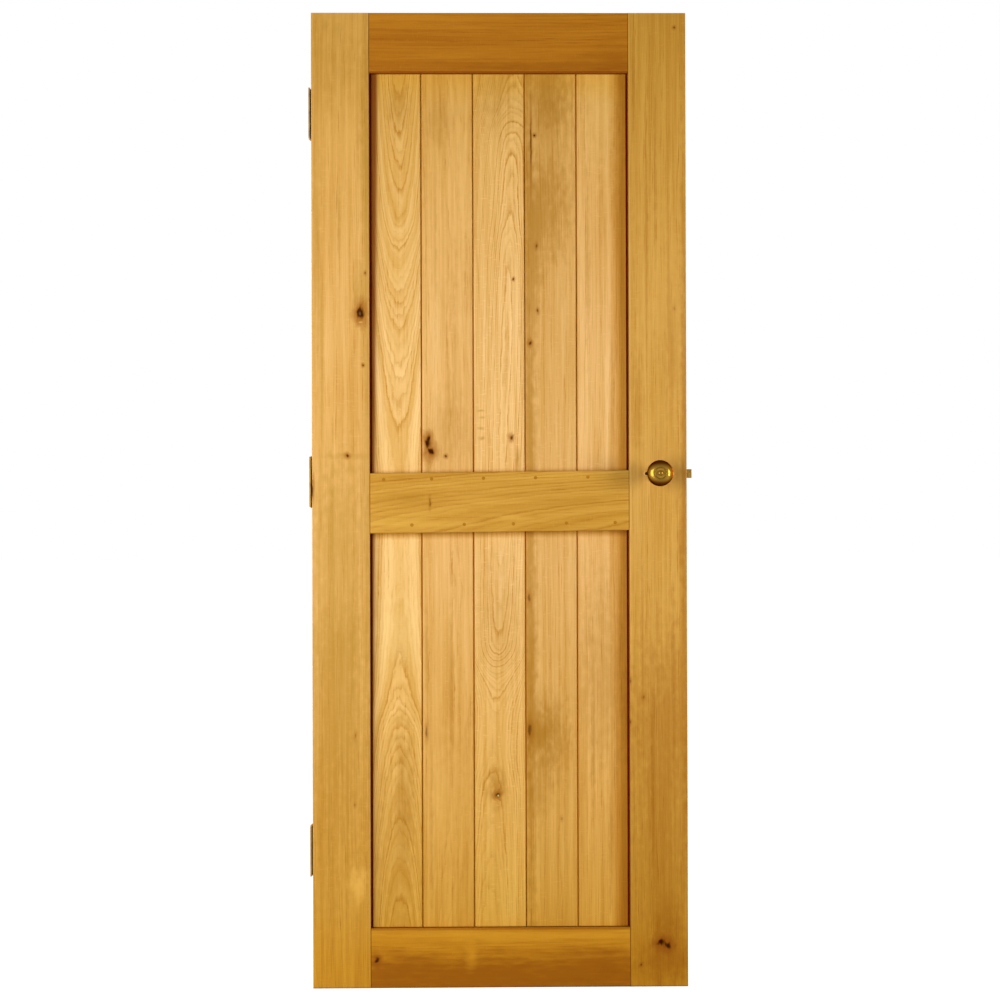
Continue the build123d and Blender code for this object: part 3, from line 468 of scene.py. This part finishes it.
def oak(
    name,
    along="Z",
    pith=(0.0, 60.0),
    rise=((0.0, 0.0), (1000.0, 0.0)),
    tone="#e6b065",
    stain=STAIN,
    ring=RING_WIDTH,
    contrast=0.5,
    wander=6.0,
    jagged=1.2,
    narrow=1.0,
    lean=0.0,
    banded=0.2,
    streaky=1.25,
    pore_depth=0.75,
    flecks=0.25,
    knots=(),
    stains=(),
    seed=0.0,
):
    """Oak whose growth rings lie round a pith, given as (across, depth); rise is how the pith's depth changes
    along the piece, as (place, depth added) in millimetres. Narrow squeezes the rings across the piece, lean
    slants the pith, wander bends the rings, jagged gives them teeth and banded sets off fat years from lean
    ones. Tone is the wood's middle colour, contrast how dark the rings are in it, streaky how clear its long
    streaks are. Knots are (x, z, half width, half height, strength) and stains the same, paler where the
    strength is below nought."""
    material, tree, output = new_material(name)
    place = place_in_millimetres(tree)
    parts = add(tree, "SeparateXYZ", {0: place})
    offset = tuple(seed * step for step in SEED_STEP)
    slow = along_grain(along, BEND_LENGTH, BEND_WIDTH)
    bends = centred(tree, stretched_noise(tree, place, slow, offset, Detail=3.0, Roughness=0.55))
    ragged_edge = RAGGED_UPRIGHT if along == "Z" else RAGGED_LEVEL
    ragged = centred(tree, stretched_noise(tree, place, ragged_edge, Detail=2.0))

    radius = distance_from_pith(tree, place, along, offset, bends, pith, rise, wander, jagged, narrow, lean)
    radius, hearts, rims = knotted(tree, place, ragged, radius, knots)
    years = add(tree, "Math", {0: radius, 1: ring}, operation="DIVIDE")
    rings = growth_rings(tree, years)
    groups = add(
        tree, "TexNoise", {"W": years, "Scale": YEARS_SCALE, "Detail": 2.0}, noise_dimensions="1D"
    )
    lean_years, fat_years = YEARS_LEVELS
    groups = add(tree, "MapRange", {"Value": groups, "From Min": lean_years, "From Max": fat_years})

    # Streaks run with the grain, and so do pores, which are thickest in each spring's wood. Oak's rays show
    # as small bright flecks across the grain.
    streaks, pores, rays = (
        stretched_noise(tree, place, along_grain(along, length, width), offset, Detail=detail)
        for length, width, detail in (
            (STREAK_LENGTH, STREAK_WIDTH, 4.0),
            (PORE_LENGTH, PORE_WIDTH, 3.0),
            (FLECK_WIDTH, FLECK_LENGTH, 1.0),
        )
    )
    none, full = PORE_LEVELS
    pores = add(tree, "MapRange", {"Value": pores, "From Min": none, "From Max": full})
    none, full = FLECK_LEVELS
    rays = add(tree, "MapRange", {"Value": rays, "From Min": none, "From Max": full, "To Max": flecks})
    fewest = PORES_OUTSIDE_SPRING
    in_spring = add(tree, "Math", {0: rings, 1: 1.0 - fewest, 2: fewest}, operation="MULTIPLY_ADD")
    pores = add(tree, "Math", {0: pores, 1: in_spring}, operation="MULTIPLY")

    # Pale to dark wood, by streaks, by slow changes and by groups of years
    half = STREAK_SPREAD / streaky
    dark = add(tree, "MapRange", {"Value": streaks, "From Min": 0.5 - half, "From Max": 0.5 + half})
    bend = add(tree, "SeparateXYZ", {0: bends})
    pale, full = BROAD_LEVELS
    broad = add(tree, "MapRange", {"Value": bend.outputs[2], "From Min": pale, "From Max": full})
    dark = add(tree, "Mix", {"Factor": BROAD_SHARE, "A": dark, "B": broad}, data_type="FLOAT")
    dark = add(tree, "Mix", {"Factor": banded, "A": dark, "B": groups}, data_type="FLOAT")
    colour = add(
        tree, "Mix", {0: dark, 6: tinted(tone, PALER), 7: tinted(tone, DARKER)}, data_type="RGBA"
    ).outputs[2]
    lines = add(tree, "Math", {0: rings, 1: contrast}, operation="MULTIPLY", use_clamp=True)
    lines = add(
        tree, "Math", {0: pores, 1: pore_depth, 2: lines}, operation="MULTIPLY_ADD", use_clamp=True
    )
    colour = add(tree, "Mix", {0: lines, 6: colour, 7: tinted(tone, LINE)}, data_type="RGBA").outputs[2]
    colour = add(tree, "Mix", {0: rays, 6: colour, 7: tinted(tone, PALER)}, data_type="RGBA").outputs[2]

    # Stains, then knots, then places rubbed or chipped pale and a painted highlight
    dark_marks = [mark for mark in stains if mark[4] > 0]
    pale_marks = [mark for mark in stains if mark[4] < 0]
    colour = stained(tree, place, ragged, colour, dark_marks, hex_colour(stain))
    rims = add(tree, "Math", {0: rims, 1: RIM_STRENGTH}, operation="MULTIPLY")
    for amount, tint in ((rims, KNOT_RIM), (hearts, KNOT_HEART)):
        colour = add(tree, "Mix", {0: amount, 6: colour, 7: hex_colour(tint)}, data_type="RGBA").outputs[2]
    colour = stained(tree, place, ragged, colour, pale_marks, tinted(tone, FADED_AND_HIGHLIGHT))

    # Painted shade towards the leaf's ends and by the frame, then dirt and old oil in the joints
    colour = aged(tree, colour, parts.outputs["Z"])
    off_middle = add(tree, "Math", {0: parts.outputs["X"]}, operation="ABSOLUTE")
    off_core = add(tree, "Math", {0: parts.outputs["Y"]}, operation="ABSOLUTE")
    in_opening = add(tree, "Math", {0: off_middle, 1: PANEL_SIDE}, operation="LESS_THAN")
    between_rails = add(
        tree,
        "Math",
        {0: parts.outputs["Z"], 1: (PANEL_HEAD + PANEL_FOOT) / 2, 2: (PANEL_HEAD - PANEL_FOOT) / 2},
        operation="COMPARE",
    )
    in_panel = add(tree, "Math", {0: in_opening, 1: between_rails}, operation="MULTIPLY")
    on_board = add(tree, "Math", {0: off_core, 1: BOARD_DEPTH}, operation="LESS_THAN")
    on_board = add(tree, "Math", {0: on_board, 1: in_panel}, operation="MULTIPLY")
    colour = painted_frame_shade(tree, colour, parts, in_opening, on_board)
    colour, in_joint = joint_dirt(tree, colour, parts, off_middle, off_core, in_panel)
    colour = shoulder_lines(tree, colour, off_middle, off_core)

    # The planed face: pores and dark rings lie a little low in it, and dirt and knots don't shine
    height = add(tree, "Math", {0: pores, 1: PORES_LOW}, operation="MULTIPLY")
    height = add(tree, "Math", {0: rings, 1: RINGS_LOW, 2: height}, operation="MULTIPLY_ADD")
    bump = add(tree, "Bump", {"Strength": PLANED_STRENGTH, "Distance": PORE_DEPTH * MM, "Height": height})
    rough = add(
        tree, "MapRange", {"Value": pores, "To Min": PLANED_ROUGHNESS, "To Max": PORE_ROUGHNESS}
    )
    matt = add(tree, "Math", {0: in_joint, 1: hearts}, operation="MAXIMUM")
    sheen = add(tree, "MapRange", {"Value": matt, "To Min": OILED_SHEEN, "To Max": 0.0})
    shader = add(
        tree,
        "BsdfPrincipled",
        {
            "Base Color": colour,
            "Roughness": rough,
            "Normal": bump,
            "IOR": OIL_IOR,
            "Specular IOR Level": sheen,
        },
    )
    tree.links.new(shader.outputs[0], output.inputs[0])
    return material


# Brass and steel. Brass turned or drawn long ago: polish has worn to a soft shine and air has browned it;
# the knob's brown above, below and in its middle is a painted dark reflection. Steel inside the latch is zinc
# plated and dull.

# Old browned brass reflects brown where it is seen edge on
BROWNED_EDGE = "#94602c"

# Levels of noise between which tarnish goes from none to full, how far it goes, and how much rougher it is
TARNISH_LEVELS = (0.42, 0.72)
TARNISH_MOST = 0.7
TARNISH_ROUGHER = 0.25
ROUGHEST = 0.8

# How far into an inner corner a cloth doesn't reach, in millimetres, and how open a place is there
CORNER_REACH = 6.0
CORNER_LEVELS = (0.9, 0.3)

# The lathe's cuts in a millimetre, the repeats of a drawn surface's grain, and how deep both are, in
# millimetres
LATHE_CUTS = 5.0
LATHE_DEPTH = 0.05
DRAWN_GRAIN = (3.0, 3.0, 0.4)
DRAWN_STRENGTH = 0.2
DRAWN_DEPTH = 0.03

# The knob's painted dark reflection, brown above, below and in its middle: how far from its axis, in
# millimetres, it starts and is full, and how much of it there is. The bright part between is wider than it is
# high, so distances to the side count for less.
OUTER_DARK_REFLECTION = (7.0, 20.0, 1.0)
INNER_DARK_REFLECTION = (8.0, 4.0, 0.6)
SIDE_SHARE = 0.55


def painted_knob_reflection(tree, place, amount, browned):
    """The knob's painted dark reflection, brown above and below and in its middle, added to its tarnish."""
    squeezed = add(
        tree,
        "VectorMath",
        {0: place, 1: (SIDE_SHARE, 0, 1), 2: (-KNOB_X * SIDE_SHARE, 0, -KNOB_Z)},
        operation="MULTIPLY_ADD",
    )
    away = add(tree, "VectorMath", {0: squeezed}, operation="LENGTH").outputs["Value"]
    for start, full, share in (OUTER_DARK_REFLECTION, INNER_DARK_REFLECTION):
        most = browned * share
        brown = add(tree, "MapRange", {"Value": away, "From Min": start, "From Max": full, "To Max": most})
        amount = add(tree, "Math", {0: amount, 1: brown}, operation="MAXIMUM")
    return amount


def lathe_cuts(tree, place, depth_share):
    """The fine rings that a lathe leaves around the knob's axis."""
    from_axis = add(
        tree, "VectorMath", {0: place, 1: (1, 0, 1), 2: (-KNOB_X, 0, -KNOB_Z)}, operation="MULTIPLY_ADD"
    )
    radius = add(tree, "VectorMath", {0: from_axis}, operation="LENGTH").outputs["Value"]
    cuts = add(tree, "Math", {0: radius, 1: LATHE_CUTS}, operation="MULTIPLY")
    groove = add(tree, "TexNoise", {"W": cuts, "Scale": 1.0}, noise_dimensions="1D")
    return add(tree, "Bump", {"Strength": depth_share, "Distance": LATHE_DEPTH * MM, "Height": groove})


def metal(name, bright, dull, roughness, patches=14.0, turned=0.0, hollow=0.6, browned=0.0):
    """Metal with tarnish: patches is the tarnish's size in millimetres, turned is the strength of the fine
    rings that a lathe leaves, hollow how much darker the inner corners are, and browned how brown a knob is
    in a painted dark reflection above, below and in its middle, and whether its edges reflect brown. The
    lathe's rings are drawn a little coarser than real ones, so that they show."""
    material, tree, output = new_material(name)
    place = place_in_millimetres(tree)
    cloud = stretched_noise(tree, place, (1 / patches,) * 3, Detail=4.0, Roughness=0.6)
    none, full = TARNISH_LEVELS
    tarnish = add(
        tree, "MapRange", {"Value": cloud, "From Min": none, "From Max": full, "To Max": TARNISH_MOST}
    )
    corners = add(tree, "AmbientOcclusion", {"Distance": CORNER_REACH * MM}, samples=4)
    open_place, corner = CORNER_LEVELS
    hollows = add(
        tree,
        "MapRange",
        {"Value": corners.outputs["AO"], "From Min": open_place, "From Max": corner, "To Max": hollow},
    )
    amount = add(tree, "Math", {0: tarnish, 1: hollows}, operation="MAXIMUM")
    if browned:
        amount = painted_knob_reflection(tree, place, amount, browned)
    colour = add(tree, "Mix", {0: amount, 6: hex_colour(bright), 7: hex_colour(dull)}, data_type="RGBA")
    dull_roughness = min(roughness + TARNISH_ROUGHER, ROUGHEST)
    rough = add(tree, "MapRange", {"Value": amount, "To Min": roughness, "To Max": dull_roughness})
    inputs = {"Base Color": colour.outputs[2], "Metallic": 1.0, "Roughness": rough}
    if browned:
        inputs["Specular Tint"] = hex_colour(BROWNED_EDGE)
    if turned:
        inputs["Normal"] = lathe_cuts(tree, place, turned)
    else:
        grain = stretched_noise(tree, place, DRAWN_GRAIN, Detail=2.0)
        inputs["Normal"] = add(
            tree, "Bump", {"Strength": DRAWN_STRENGTH, "Distance": DRAWN_DEPTH * MM, "Height": grain}
        )
    shader = add(tree, "BsdfPrincipled", inputs)
    tree.links.new(shader.outputs[0], output.inputs[0])
    return material


# The door's wooden pieces: where the grain of each runs, and its knots and marks. Places are in millimetres,
# across from the leaf's middle and up from its foot.

dress(
    ["hinge_stile"],
    oak(
        "oiled_oak_hinge_stile",
        pith=(-520.0, 80.0),
        rise=((0.0, -10.0), (900.0, 14.0), (1981.0, 0.0)),
        tone="#e1ae61",
        stain="#b4862a",
        contrast=0.26,
        wander=9.0,
        knots=(
            (-282.0, 1372.0, 7.5, 14.0, 1.0),
            (-380.5, 1015.0, 2.6, 15.0, 0.8),
            (-276.7, 1264.0, 2.0, 2.5, 0.9),
            (-272.3, 1452.0, 1.8, 3.0, 0.6),
            (-309.0, 1080.7, 3.5, 3.5, 0.85),
            (-294.4, 511.0, 2.0, 5.0, 0.35),
            (-295.8, 371.0, 2.0, 4.0, 0.3),
            (-381.0, 1011.0, 2.6, 10.0, 0.95),
        ),
        stains=(
            (-309.0, 1080.0, 60.0, 8.0, 0.3),
            (-288.0, 211.0, 22.0, 46.0, -0.6),
            (-330.0, 560.0, 90.0, 420.0, 0.4),
            (-330.0, 940.0, 100.0, 190.0, 0.32),
            (-335.0, 1900.0, 70.0, 120.0, 0.25),
            (-352.0, 1958.0, 10.0, 24.0, 0.35),
            (-328.0, 1950.0, 12.0, 26.0, 0.3),
            (-275.0, 1740.0, 14.0, 220.0, 0.3),
            (-268.0, 1300.0, 12.0, 900.0, 0.4),
            (-320.0, 709.0, 80.0, 90.0, 0.25),
            (-325.0, 1690.0, 60.0, 100.0, -0.15),
            (-283.0, 1370.0, 2.6, 5.0, -0.1),
            (-281.0, 1352.0, 5.0, 2.5, -0.35),
            (-284.0, 1420.0, 14.0, 60.0, 0.35),
            (-320.0, 1950.0, 60.0, 60.0, -0.15),
            (-370.0, 1500.0, 10.0, 400.0, 0.25),
            (-340.0, 900.0, 5.0, 260.0, 0.35),
            (-300.0, 700.0, 4.0, 200.0, 0.35),
            (-360.0, 1250.0, 5.0, 240.0, 0.3),
            (-325.0, 1600.0, 4.0, 200.0, 0.35),
            (-348.0, 300.0, 4.0, 220.0, 0.35),
            (-310.0, 330.0, 3.0, 160.0, 0.3),
        ),
        seed=1.0,
    ),
)
dress(
    ["latch_stile"],
    oak(
        "oiled_oak_latch_stile",
        pith=(560.0, 90.0),
        rise=((0.0, 12.0), (1100.0, -8.0), (1981.0, 4.0)),
        tone="#d6a24c",
        contrast=0.28,
        wander=8.0,
        knots=(
            (358.3, 1951.8, 2.0, 2.5, 0.7),
            (292.4, 589.0, 2.4, 4.0, 0.4),
            (265.3, 620.5, 1.6, 4.0, 0.5),
            (265.0, 537.3, 1.6, 4.0, 0.5),
            (357.0, 1378.8, 2.2, 4.0, 0.3),
            (326.0, 89.0, 9.5, 8.0, 1.0),
            (339.0, 84.0, 8.5, 8.5, 0.95),
            (285.4, 44.0, 2.5, 3.0, 0.6),
        ),
        stain="#a2640e",
        stains=(
            (330.0, 130.0, 90.0, 200.0, 0.2),
            (330.0, 530.0, 90.0, 230.0, 0.42),
            (340.0, 50.0, 90.0, 50.0, 0.4),
            (330.0, 290.0, 90.0, 170.0, 0.25),
            (320.0, 1440.0, 80.0, 180.0, -0.2),
            # A painted highlight along the latch stile's inner arris
            (266.0, 1400.0, 1.6, 900.0, -0.35),
            (340.0, 120.0, 34.0, 70.0, 0.4),
            (376.0, 1000.0, 10.0, 800.0, 0.5),
            (280.0, 1180.0, 16.0, 120.0, 0.25),
            (350.0, 1300.0, 14.0, 160.0, 0.25),
            (368.0, 890.0, 8.0, 60.0, 0.4),
            (300.0, 1500.0, 4.0, 260.0, 0.35),
            (318.0, 1650.0, 3.0, 200.0, 0.3),
            (345.0, 1450.0, 5.0, 180.0, 0.3),
            (290.0, 700.0, 4.0, 220.0, 0.3),
            (352.0, 640.0, 5.0, 200.0, 0.35),
            (310.0, 420.0, 4.0, 180.0, 0.35),
            (275.0, 1850.0, 4.0, 120.0, 0.3),
        ),
        seed=2.0,
    ),
)
dress(
    ["top_rail"],
    oak(
        "oiled_oak_top_rail",
        along="X",
        pith=(1830.0, 120.0),
        rise=((-381.0, 0.0), (0.0, 10.0), (381.0, -6.0)),
        tone="#c38022",
        contrast=0.3,
        ring=4.2,
        streaky=1.5,
        pore_depth=0.75,
        stain="#9c5a0a",
        stains=(
            (150.0, 1872.0, 300.0, 16.0, 0.5),
            (240.0, 1885.0, 60.0, 50.0, 0.35),
            (-200.0, 1972.0, 300.0, 12.0, -0.35),
        ),
        seed=3.0,
    ),
)
dress(
    ["bottom_rail"],
    oak(
        "oiled_oak_bottom_rail",
        along="X",
        pith=(150.0, 70.0),
        rise=((-381.0, 10.0), (0.0, 0.0), (381.0, 18.0)),
        tone="#dca240",
        stain="#a8690e",
        contrast=0.3,
        ring=4.6,
        streaky=1.5,
        pore_depth=0.7,
        wander=10.0,
        knots=((-251.7, 56.8, 5.0, 7.0, 0.9),),
        stains=(
            (-100.0, 34.0, 900.0, 48.0, 0.72),
            (0.0, 0.0, 900.0, 42.0, 0.65),
            (200.0, 50.0, 110.0, 40.0, 0.5),
            (-60.0, 62.0, 14.0, 32.0, -0.4),
            (0.0, 106.0, 300.0, 10.0, -0.3),
        ),
        seed=4.0,
    ),
)
for rail, number in (("front_mid_rail", 5.0), ("back_mid_rail", 6.0)):
    dress(
        [rail],
        oak(
            "oiled_oak_" + rail,
            along="X",
            pith=(890.0, 80.0),
            rise=((-381.0, 48.0), (-60.0, 14.0), (120.0, -6.0), (381.0, -34.0)),
            tone="#d09b3c",
            contrast=0.75,
            ring=5.2,
            banded=0.5,
            streaky=1.4,
            knots=((-141.7, 985.4, 1.8, 8.0, 0.5),),
            stains=(
                (-190.0, 995.0, 70.0, 14.0, 0.45),
                (150.0, 985.0, 90.0, 12.0, 0.3),
                (-150.0, 941.0, 130.0, 9.0, -0.3),
                (25.0, 953.0, 42.0, 7.0, -0.35),
                (-40.0, 992.0, 60.0, 9.0, -0.15),
            ),
            seed=number,
        ),
    )

# The boards, counted from the hinges
BOARDS = (
    dict(
        pith=(-203.0, 26.0),
        rise=(
            (0.0, 15.0),
            (300.0, 60.0),
            (508.0, 92.0),
            (640.0, 116.0),
            (900.0, 124.0),
            (1059.0, 122.0),
            (1200.0, 112.0),
            (1459.0, 76.0),
            (1600.0, 44.0),
            (1981.0, 0.0),
        ),
        tone="#f0c176",
        ring=4.2,
        narrow=1.8,
        jagged=1.5,
        contrast=0.85,
        banded=0.6,
        wander=5.0,
        stains=(
            (-195.0, 400.0, 24.0, 180.0, 0.35),
            (-205.0, 1790.0, 30.0, 60.0, 0.3),
            (-212.0, 220.0, 60.0, 260.0, 0.25),
            (-212.0, 720.0, 60.0, 90.0, -0.22),
        ),
    ),
    dict(
        pith=(-60.0, 90.0),
        rise=((0.0, 0.0), (1000.0, 26.0), (1981.0, 0.0)),
        tone="#e6b369",
        contrast=0.3,
        knots=(
            (-146.0, 1108.0, 6.5, 12.0, 1.0),
            (-140.5, 1090.0, 8.0, 9.5, 1.0),
            (-109.0, 1079.0, 3.0, 3.0, 0.8),
            (-150.0, 520.0, 2.2, 12.0, 0.5),
        ),
        stains=(
            (-144.0, 1070.0, 14.0, 40.0, 0.45),
            (-105.0, 1560.0, 60.0, 260.0, -0.2),
            (-105.0, 1130.0, 60.0, 110.0, 0.25),
            (-105.0, 380.0, 60.0, 160.0, -0.22),
            (-120.0, 1760.0, 40.0, 50.0, 0.25),
            (-130.0, 1500.0, 4.0, 220.0, 0.3),
            (-90.0, 1300.0, 4.0, 200.0, 0.25),
            (-100.0, 600.0, 5.0, 220.0, 0.35),
            (-140.0, 300.0, 5.0, 160.0, 0.35),
            (-150.0, 680.0, 5.0, 120.0, 0.4),
        ),
    ),
    dict(
        pith=(-26.0, 30.0),
        lean=0.032,
        rise=(
            (0.0, 40.0),
            (389.0, 62.0),
            (530.0, 74.0),
            (700.0, 16.0),
            (900.0, 4.0),
            (1100.0, 0.0),
            (1465.0, 2.0),
            (1565.0, 14.0),
            (1700.0, 24.0),
            (1804.0, 58.0),
            (1981.0, 86.0),
        ),
        tone="#f2c27a",
        ring=4.4,
        narrow=1.7,
        jagged=1.3,
        contrast=0.85,
        flecks=0.4,
        knots=((29.3, 1439.6, 2.0, 2.5, 0.9), (24.4, 1117.2, 3.5, 4.5, 0.8), (-5.2, 389.0, 4.5, 5.0, 0.95)),
        stains=(
            (0.0, 1830.0, 60.0, 120.0, 0.3),
            (0.0, 750.0, 60.0, 160.0, 0.22),
            (0.0, 180.0, 60.0, 110.0, -0.1),
            (36.0, 1068.0, 8.0, 30.0, 0.5),
            (-5.0, 404.0, 24.0, 44.0, 0.5),
            (-4.4, 388.0, 2.2, 2.4, -1.0),
            (-38.0, 1172.0, 10.0, 3.0, 0.4),
            (-35.0, 1158.0, 9.0, 3.0, 0.35),
            (-38.0, 1136.0, 9.0, 4.0, 0.4),
            (-36.0, 1116.0, 8.0, 5.0, 0.5),
        ),
    ),
    dict(
        pith=(190.0, 60.0),
        rise=((0.0, 0.0), (900.0, 20.0), (1981.0, 0.0)),
        tone="#e5b36a",
        contrast=0.35,
        knots=(
            (66.0, 1715.0, 1.2, 50.0, 0.8),
            (73.3, 1733.6, 2.2, 2.5, 0.9),
            (77.1, 1507.5, 2.5, 5.0, 0.6),
            (79.1, 1375.5, 2.5, 4.0, 0.7),
            (63.2, 1309.9, 3.5, 4.5, 0.8),
            (60.0, 790.0, 3.0, 8.0, 0.5),
            (60.0, 520.0, 4.0, 14.0, 0.6),
            (124.7, 340.6, 2.0, 4.0, 0.3),
        ),
        stains=(
            (60.0, 1000.0, 20.0, 1150.0, 0.55),
            (104.0, 1790.0, 48.0, 80.0, 0.6),
            (90.0, 1860.0, 70.0, 60.0, 0.35),
            (95.0, 1600.0, 65.0, 150.0, 0.5),
            (90.0, 505.0, 60.0, 100.0, 0.6),
            (75.0, 384.0, 40.0, 60.0, 0.3),
            (74.0, 1500.0, 18.0, 170.0, 0.4),
            (62.0, 640.0, 14.0, 170.0, 0.45),
            (76.0, 515.0, 30.0, 44.0, 0.5),
        ),
    ),
    dict(
        pith=(330.0, 80.0),
        rise=((0.0, 10.0), (1000.0, 0.0), (1981.0, 10.0)),
        tone="#e9b66e",
        contrast=0.32,
        stains=(
            (215.0, 1800.0, 60.0, 200.0, -0.3),
            (215.0, 640.0, 70.0, 240.0, 0.32),
            (180.0, 1500.0, 5.0, 260.0, 0.3),
            (230.0, 1200.0, 5.0, 220.0, 0.25),
            (190.0, 500.0, 5.0, 220.0, 0.35),
            (225.0, 300.0, 5.0, 160.0, 0.35),
        ),
    ),
)
for number, looks in enumerate(BOARDS, 1):
    board = "board_" + str(number)
    dress([board], oak("oiled_oak_" + board, seed=6.0 + number, **looks))

dress(
    ["rail_pegs", "tenon_wedges"],
    oak(
        "oiled_oak_end_grain",
        along="X",
        pith=(0.0, 400.0),
        rise=((-381.0, 0.0), (381.0, 0.0)),
        tone="#b4791a",
        contrast=0.5,
        ring=1.6,
        seed=13.0,
    ),
)


# The door's metal: a turned brass knob, polished long ago and browned since, with a painted dark reflection,
# its rose, and the rest

dress(
    ["front_knob", "back_knob"],
    metal(
        "turned_brass_knob", "#a8822e", "#4a1e06", 0.15, patches=18.0, turned=0.3, hollow=0.85, browned=0.95
    ),
)
dress(
    ["front_rose", "back_rose"],
    metal("turned_brass_rose", "#e2be7c", "#8a6230", 0.34, patches=9.0, hollow=0.2),
)
dress(["rose_screws"], metal("browned_brass_screw", "#4a2c10", "#1c0d04", 0.4))
hinge_brass = metal("drawn_brass_hinge", "#9c7c3e", "#60431a", 0.42)
for height in ("lower", "middle", "upper"):
    for piece in ("leaf_flap", "frame_flap", "pin"):
        dress([height + "_hinge_" + piece], hinge_brass)
dress(["hinge_screws"], metal("brass_wood_screw", "#a9843f", "#5a3c16", 0.35, patches=5.0))
dress(
    ["latch_forend", "forend_screws", "latch_bolt"],
    metal("dull_brass_latch", "#69501f", "#40290f", 0.45, patches=8.0),
)
dress(
    ["latch_case", "latch_follower", "latch_spring", "spindle", "knob_grub_screws"],
    metal("zinc_plated_steel", "#b9bab6", "#7d7c76", 0.38, patches=10.0),
)


# Floor, studio light and the white background. The floor's reach and glow are in metres, and its drop below
# the leaf in millimetres.

FLOOR_REACH = 60.0
FLOOR_DROP = 0.5
FLOOR_GREY = 0.4
NEAR_GLOW = 0.88
GLOW_STARTS = 0.5
GLOW_FULL = 2.2
AMBIENT = 0.12
WHITE = (1.0, 1.0, 1.0, 1.0)


def seen_directly(tree):
    """One for rays from the camera, from shiny things and through clear ones, and nought for the rest."""
    rays = add(tree, "LightPath")
    seen = rays.outputs["Is Camera Ray"]
    for kind in ("Is Glossy Ray", "Is Transmission Ray"):
        seen = add(tree, "Math", {0: seen, 1: rays.outputs[kind]}, operation="MAXIMUM")
    return seen


def white_paper(name):
    """White paper: it scatters the lamps' light, and shows white to the camera and to shiny things. It glows
    a little less near the door, where the lamps light it, so that the door's shadow is kept."""
    material, tree, output = new_material(name)
    scatter = add(tree, "BsdfDiffuse", {"Color": (FLOOR_GREY, FLOOR_GREY, FLOOR_GREY, 1.0)})
    place = add(tree, "TexCoord").outputs["Object"]
    away = add(tree, "VectorMath", {0: place}, operation="LENGTH").outputs["Value"]
    glow = add(
        tree,
        "MapRange",
        {
            "Value": away,
            "From Min": GLOW_STARTS,
            "From Max": GLOW_FULL,
            "To Min": NEAR_GLOW,
            "To Max": 1.0,
        },
    )
    strength = add(tree, "Math", {0: seen_directly(tree), 1: glow}, operation="MULTIPLY")
    glowing = add(tree, "Emission", {"Color": WHITE, "Strength": strength})
    both = add(tree, "AddShader", {0: scatter, 1: glowing})
    tree.links.new(both.outputs[0], output.inputs[0])
    return material


floor_mesh = bpy.data.meshes.new("paper_floor")
corners = [(x * FLOOR_REACH, y * FLOOR_REACH, 0.0) for x, y in ((-1, -1), (1, -1), (1, 1), (-1, 1))]
floor_mesh.from_pydata(corners, [], [(0, 1, 2, 3)])
floor_mesh.materials.append(white_paper("white_floor"))
floor = bpy.data.objects.new("paper_floor", floor_mesh)
floor.location.z = -FLOOR_DROP * MM
bpy.context.scene.collection.objects.link(floor)

world = bpy.data.worlds.new("white_studio")
bpy.context.scene.world = world
world.use_nodes = True
sky = world.node_tree
sky.nodes.clear()
strength = add(sky, "MapRange", {"Value": seen_directly(sky), "To Min": AMBIENT, "To Max": 1.0})
background = add(sky, "Background", {"Color": WHITE, "Strength": strength})
add(sky, "OutputWorld", {"Surface": background})


def soft_box(name, place, aim, size, watts):
    """A lamp behind a sheet of cloth, turned to what it lights."""
    light = bpy.data.lights.new(name, "AREA")
    light.shape = "RECTANGLE"
    light.size, light.size_y = size
    light.energy = watts
    holder = bpy.data.objects.new(name, light)
    holder.location = place
    holder.rotation_euler = (Vector(aim) - Vector(place)).to_track_quat("-Z", "Y").to_euler()
    bpy.context.scene.collection.objects.link(holder)


soft_box("left_soft_box", (-1.75, -1.55, 1.1), (-0.05, 0.0, 1.05), (2.4, 1.8), 62.0)
soft_box("right_soft_box", (2.25, -1.05, 1.1), (0.1, 0.0, 1.05), (0.7, 1.0), 39.0)
soft_box("back_left_soft_box", (-2.2, 1.6, 1.2), (0.0, 0.0, 1.05), (1.2, 1.4), 42.0)
soft_box("back_right_soft_box", (1.9, 1.7, 1.2), (0.0, 0.0, 1.05), (1.2, 1.4), 42.0)


# Camera, fitted to the leaf's corners and joints in the photograph

CAMERA_PLACE = (-0.122, -6.0, 0.955)
CAMERA_YAW = math.radians(-1.176)
CAMERA_PITCH = math.radians(0.334)
CAMERA_ROLL = math.radians(0.163)
CAMERA_LENS = 105.9
FILM_WIDTH = 36.0

camera_data = bpy.data.cameras.new("camera")
camera_data.sensor_width = FILM_WIDTH
camera_data.lens = CAMERA_LENS
camera_data.clip_end = 200.0
camera = bpy.data.objects.new("camera", camera_data)
yaw = Matrix.Rotation(CAMERA_YAW, 3, "Z")
pitch = Matrix.Rotation(CAMERA_PITCH, 3, "X")
roll = Matrix.Rotation(CAMERA_ROLL, 3, "Y")
level = Matrix.Rotation(math.radians(90), 3, "X")
camera.matrix_world = Matrix.Translation(CAMERA_PLACE) @ (yaw @ pitch @ roll @ level).to_4x4()
bpy.context.scene.collection.objects.link(camera)
bpy.context.scene.camera = camera
bpy.context.scene.view_settings.view_transform = "Standard"
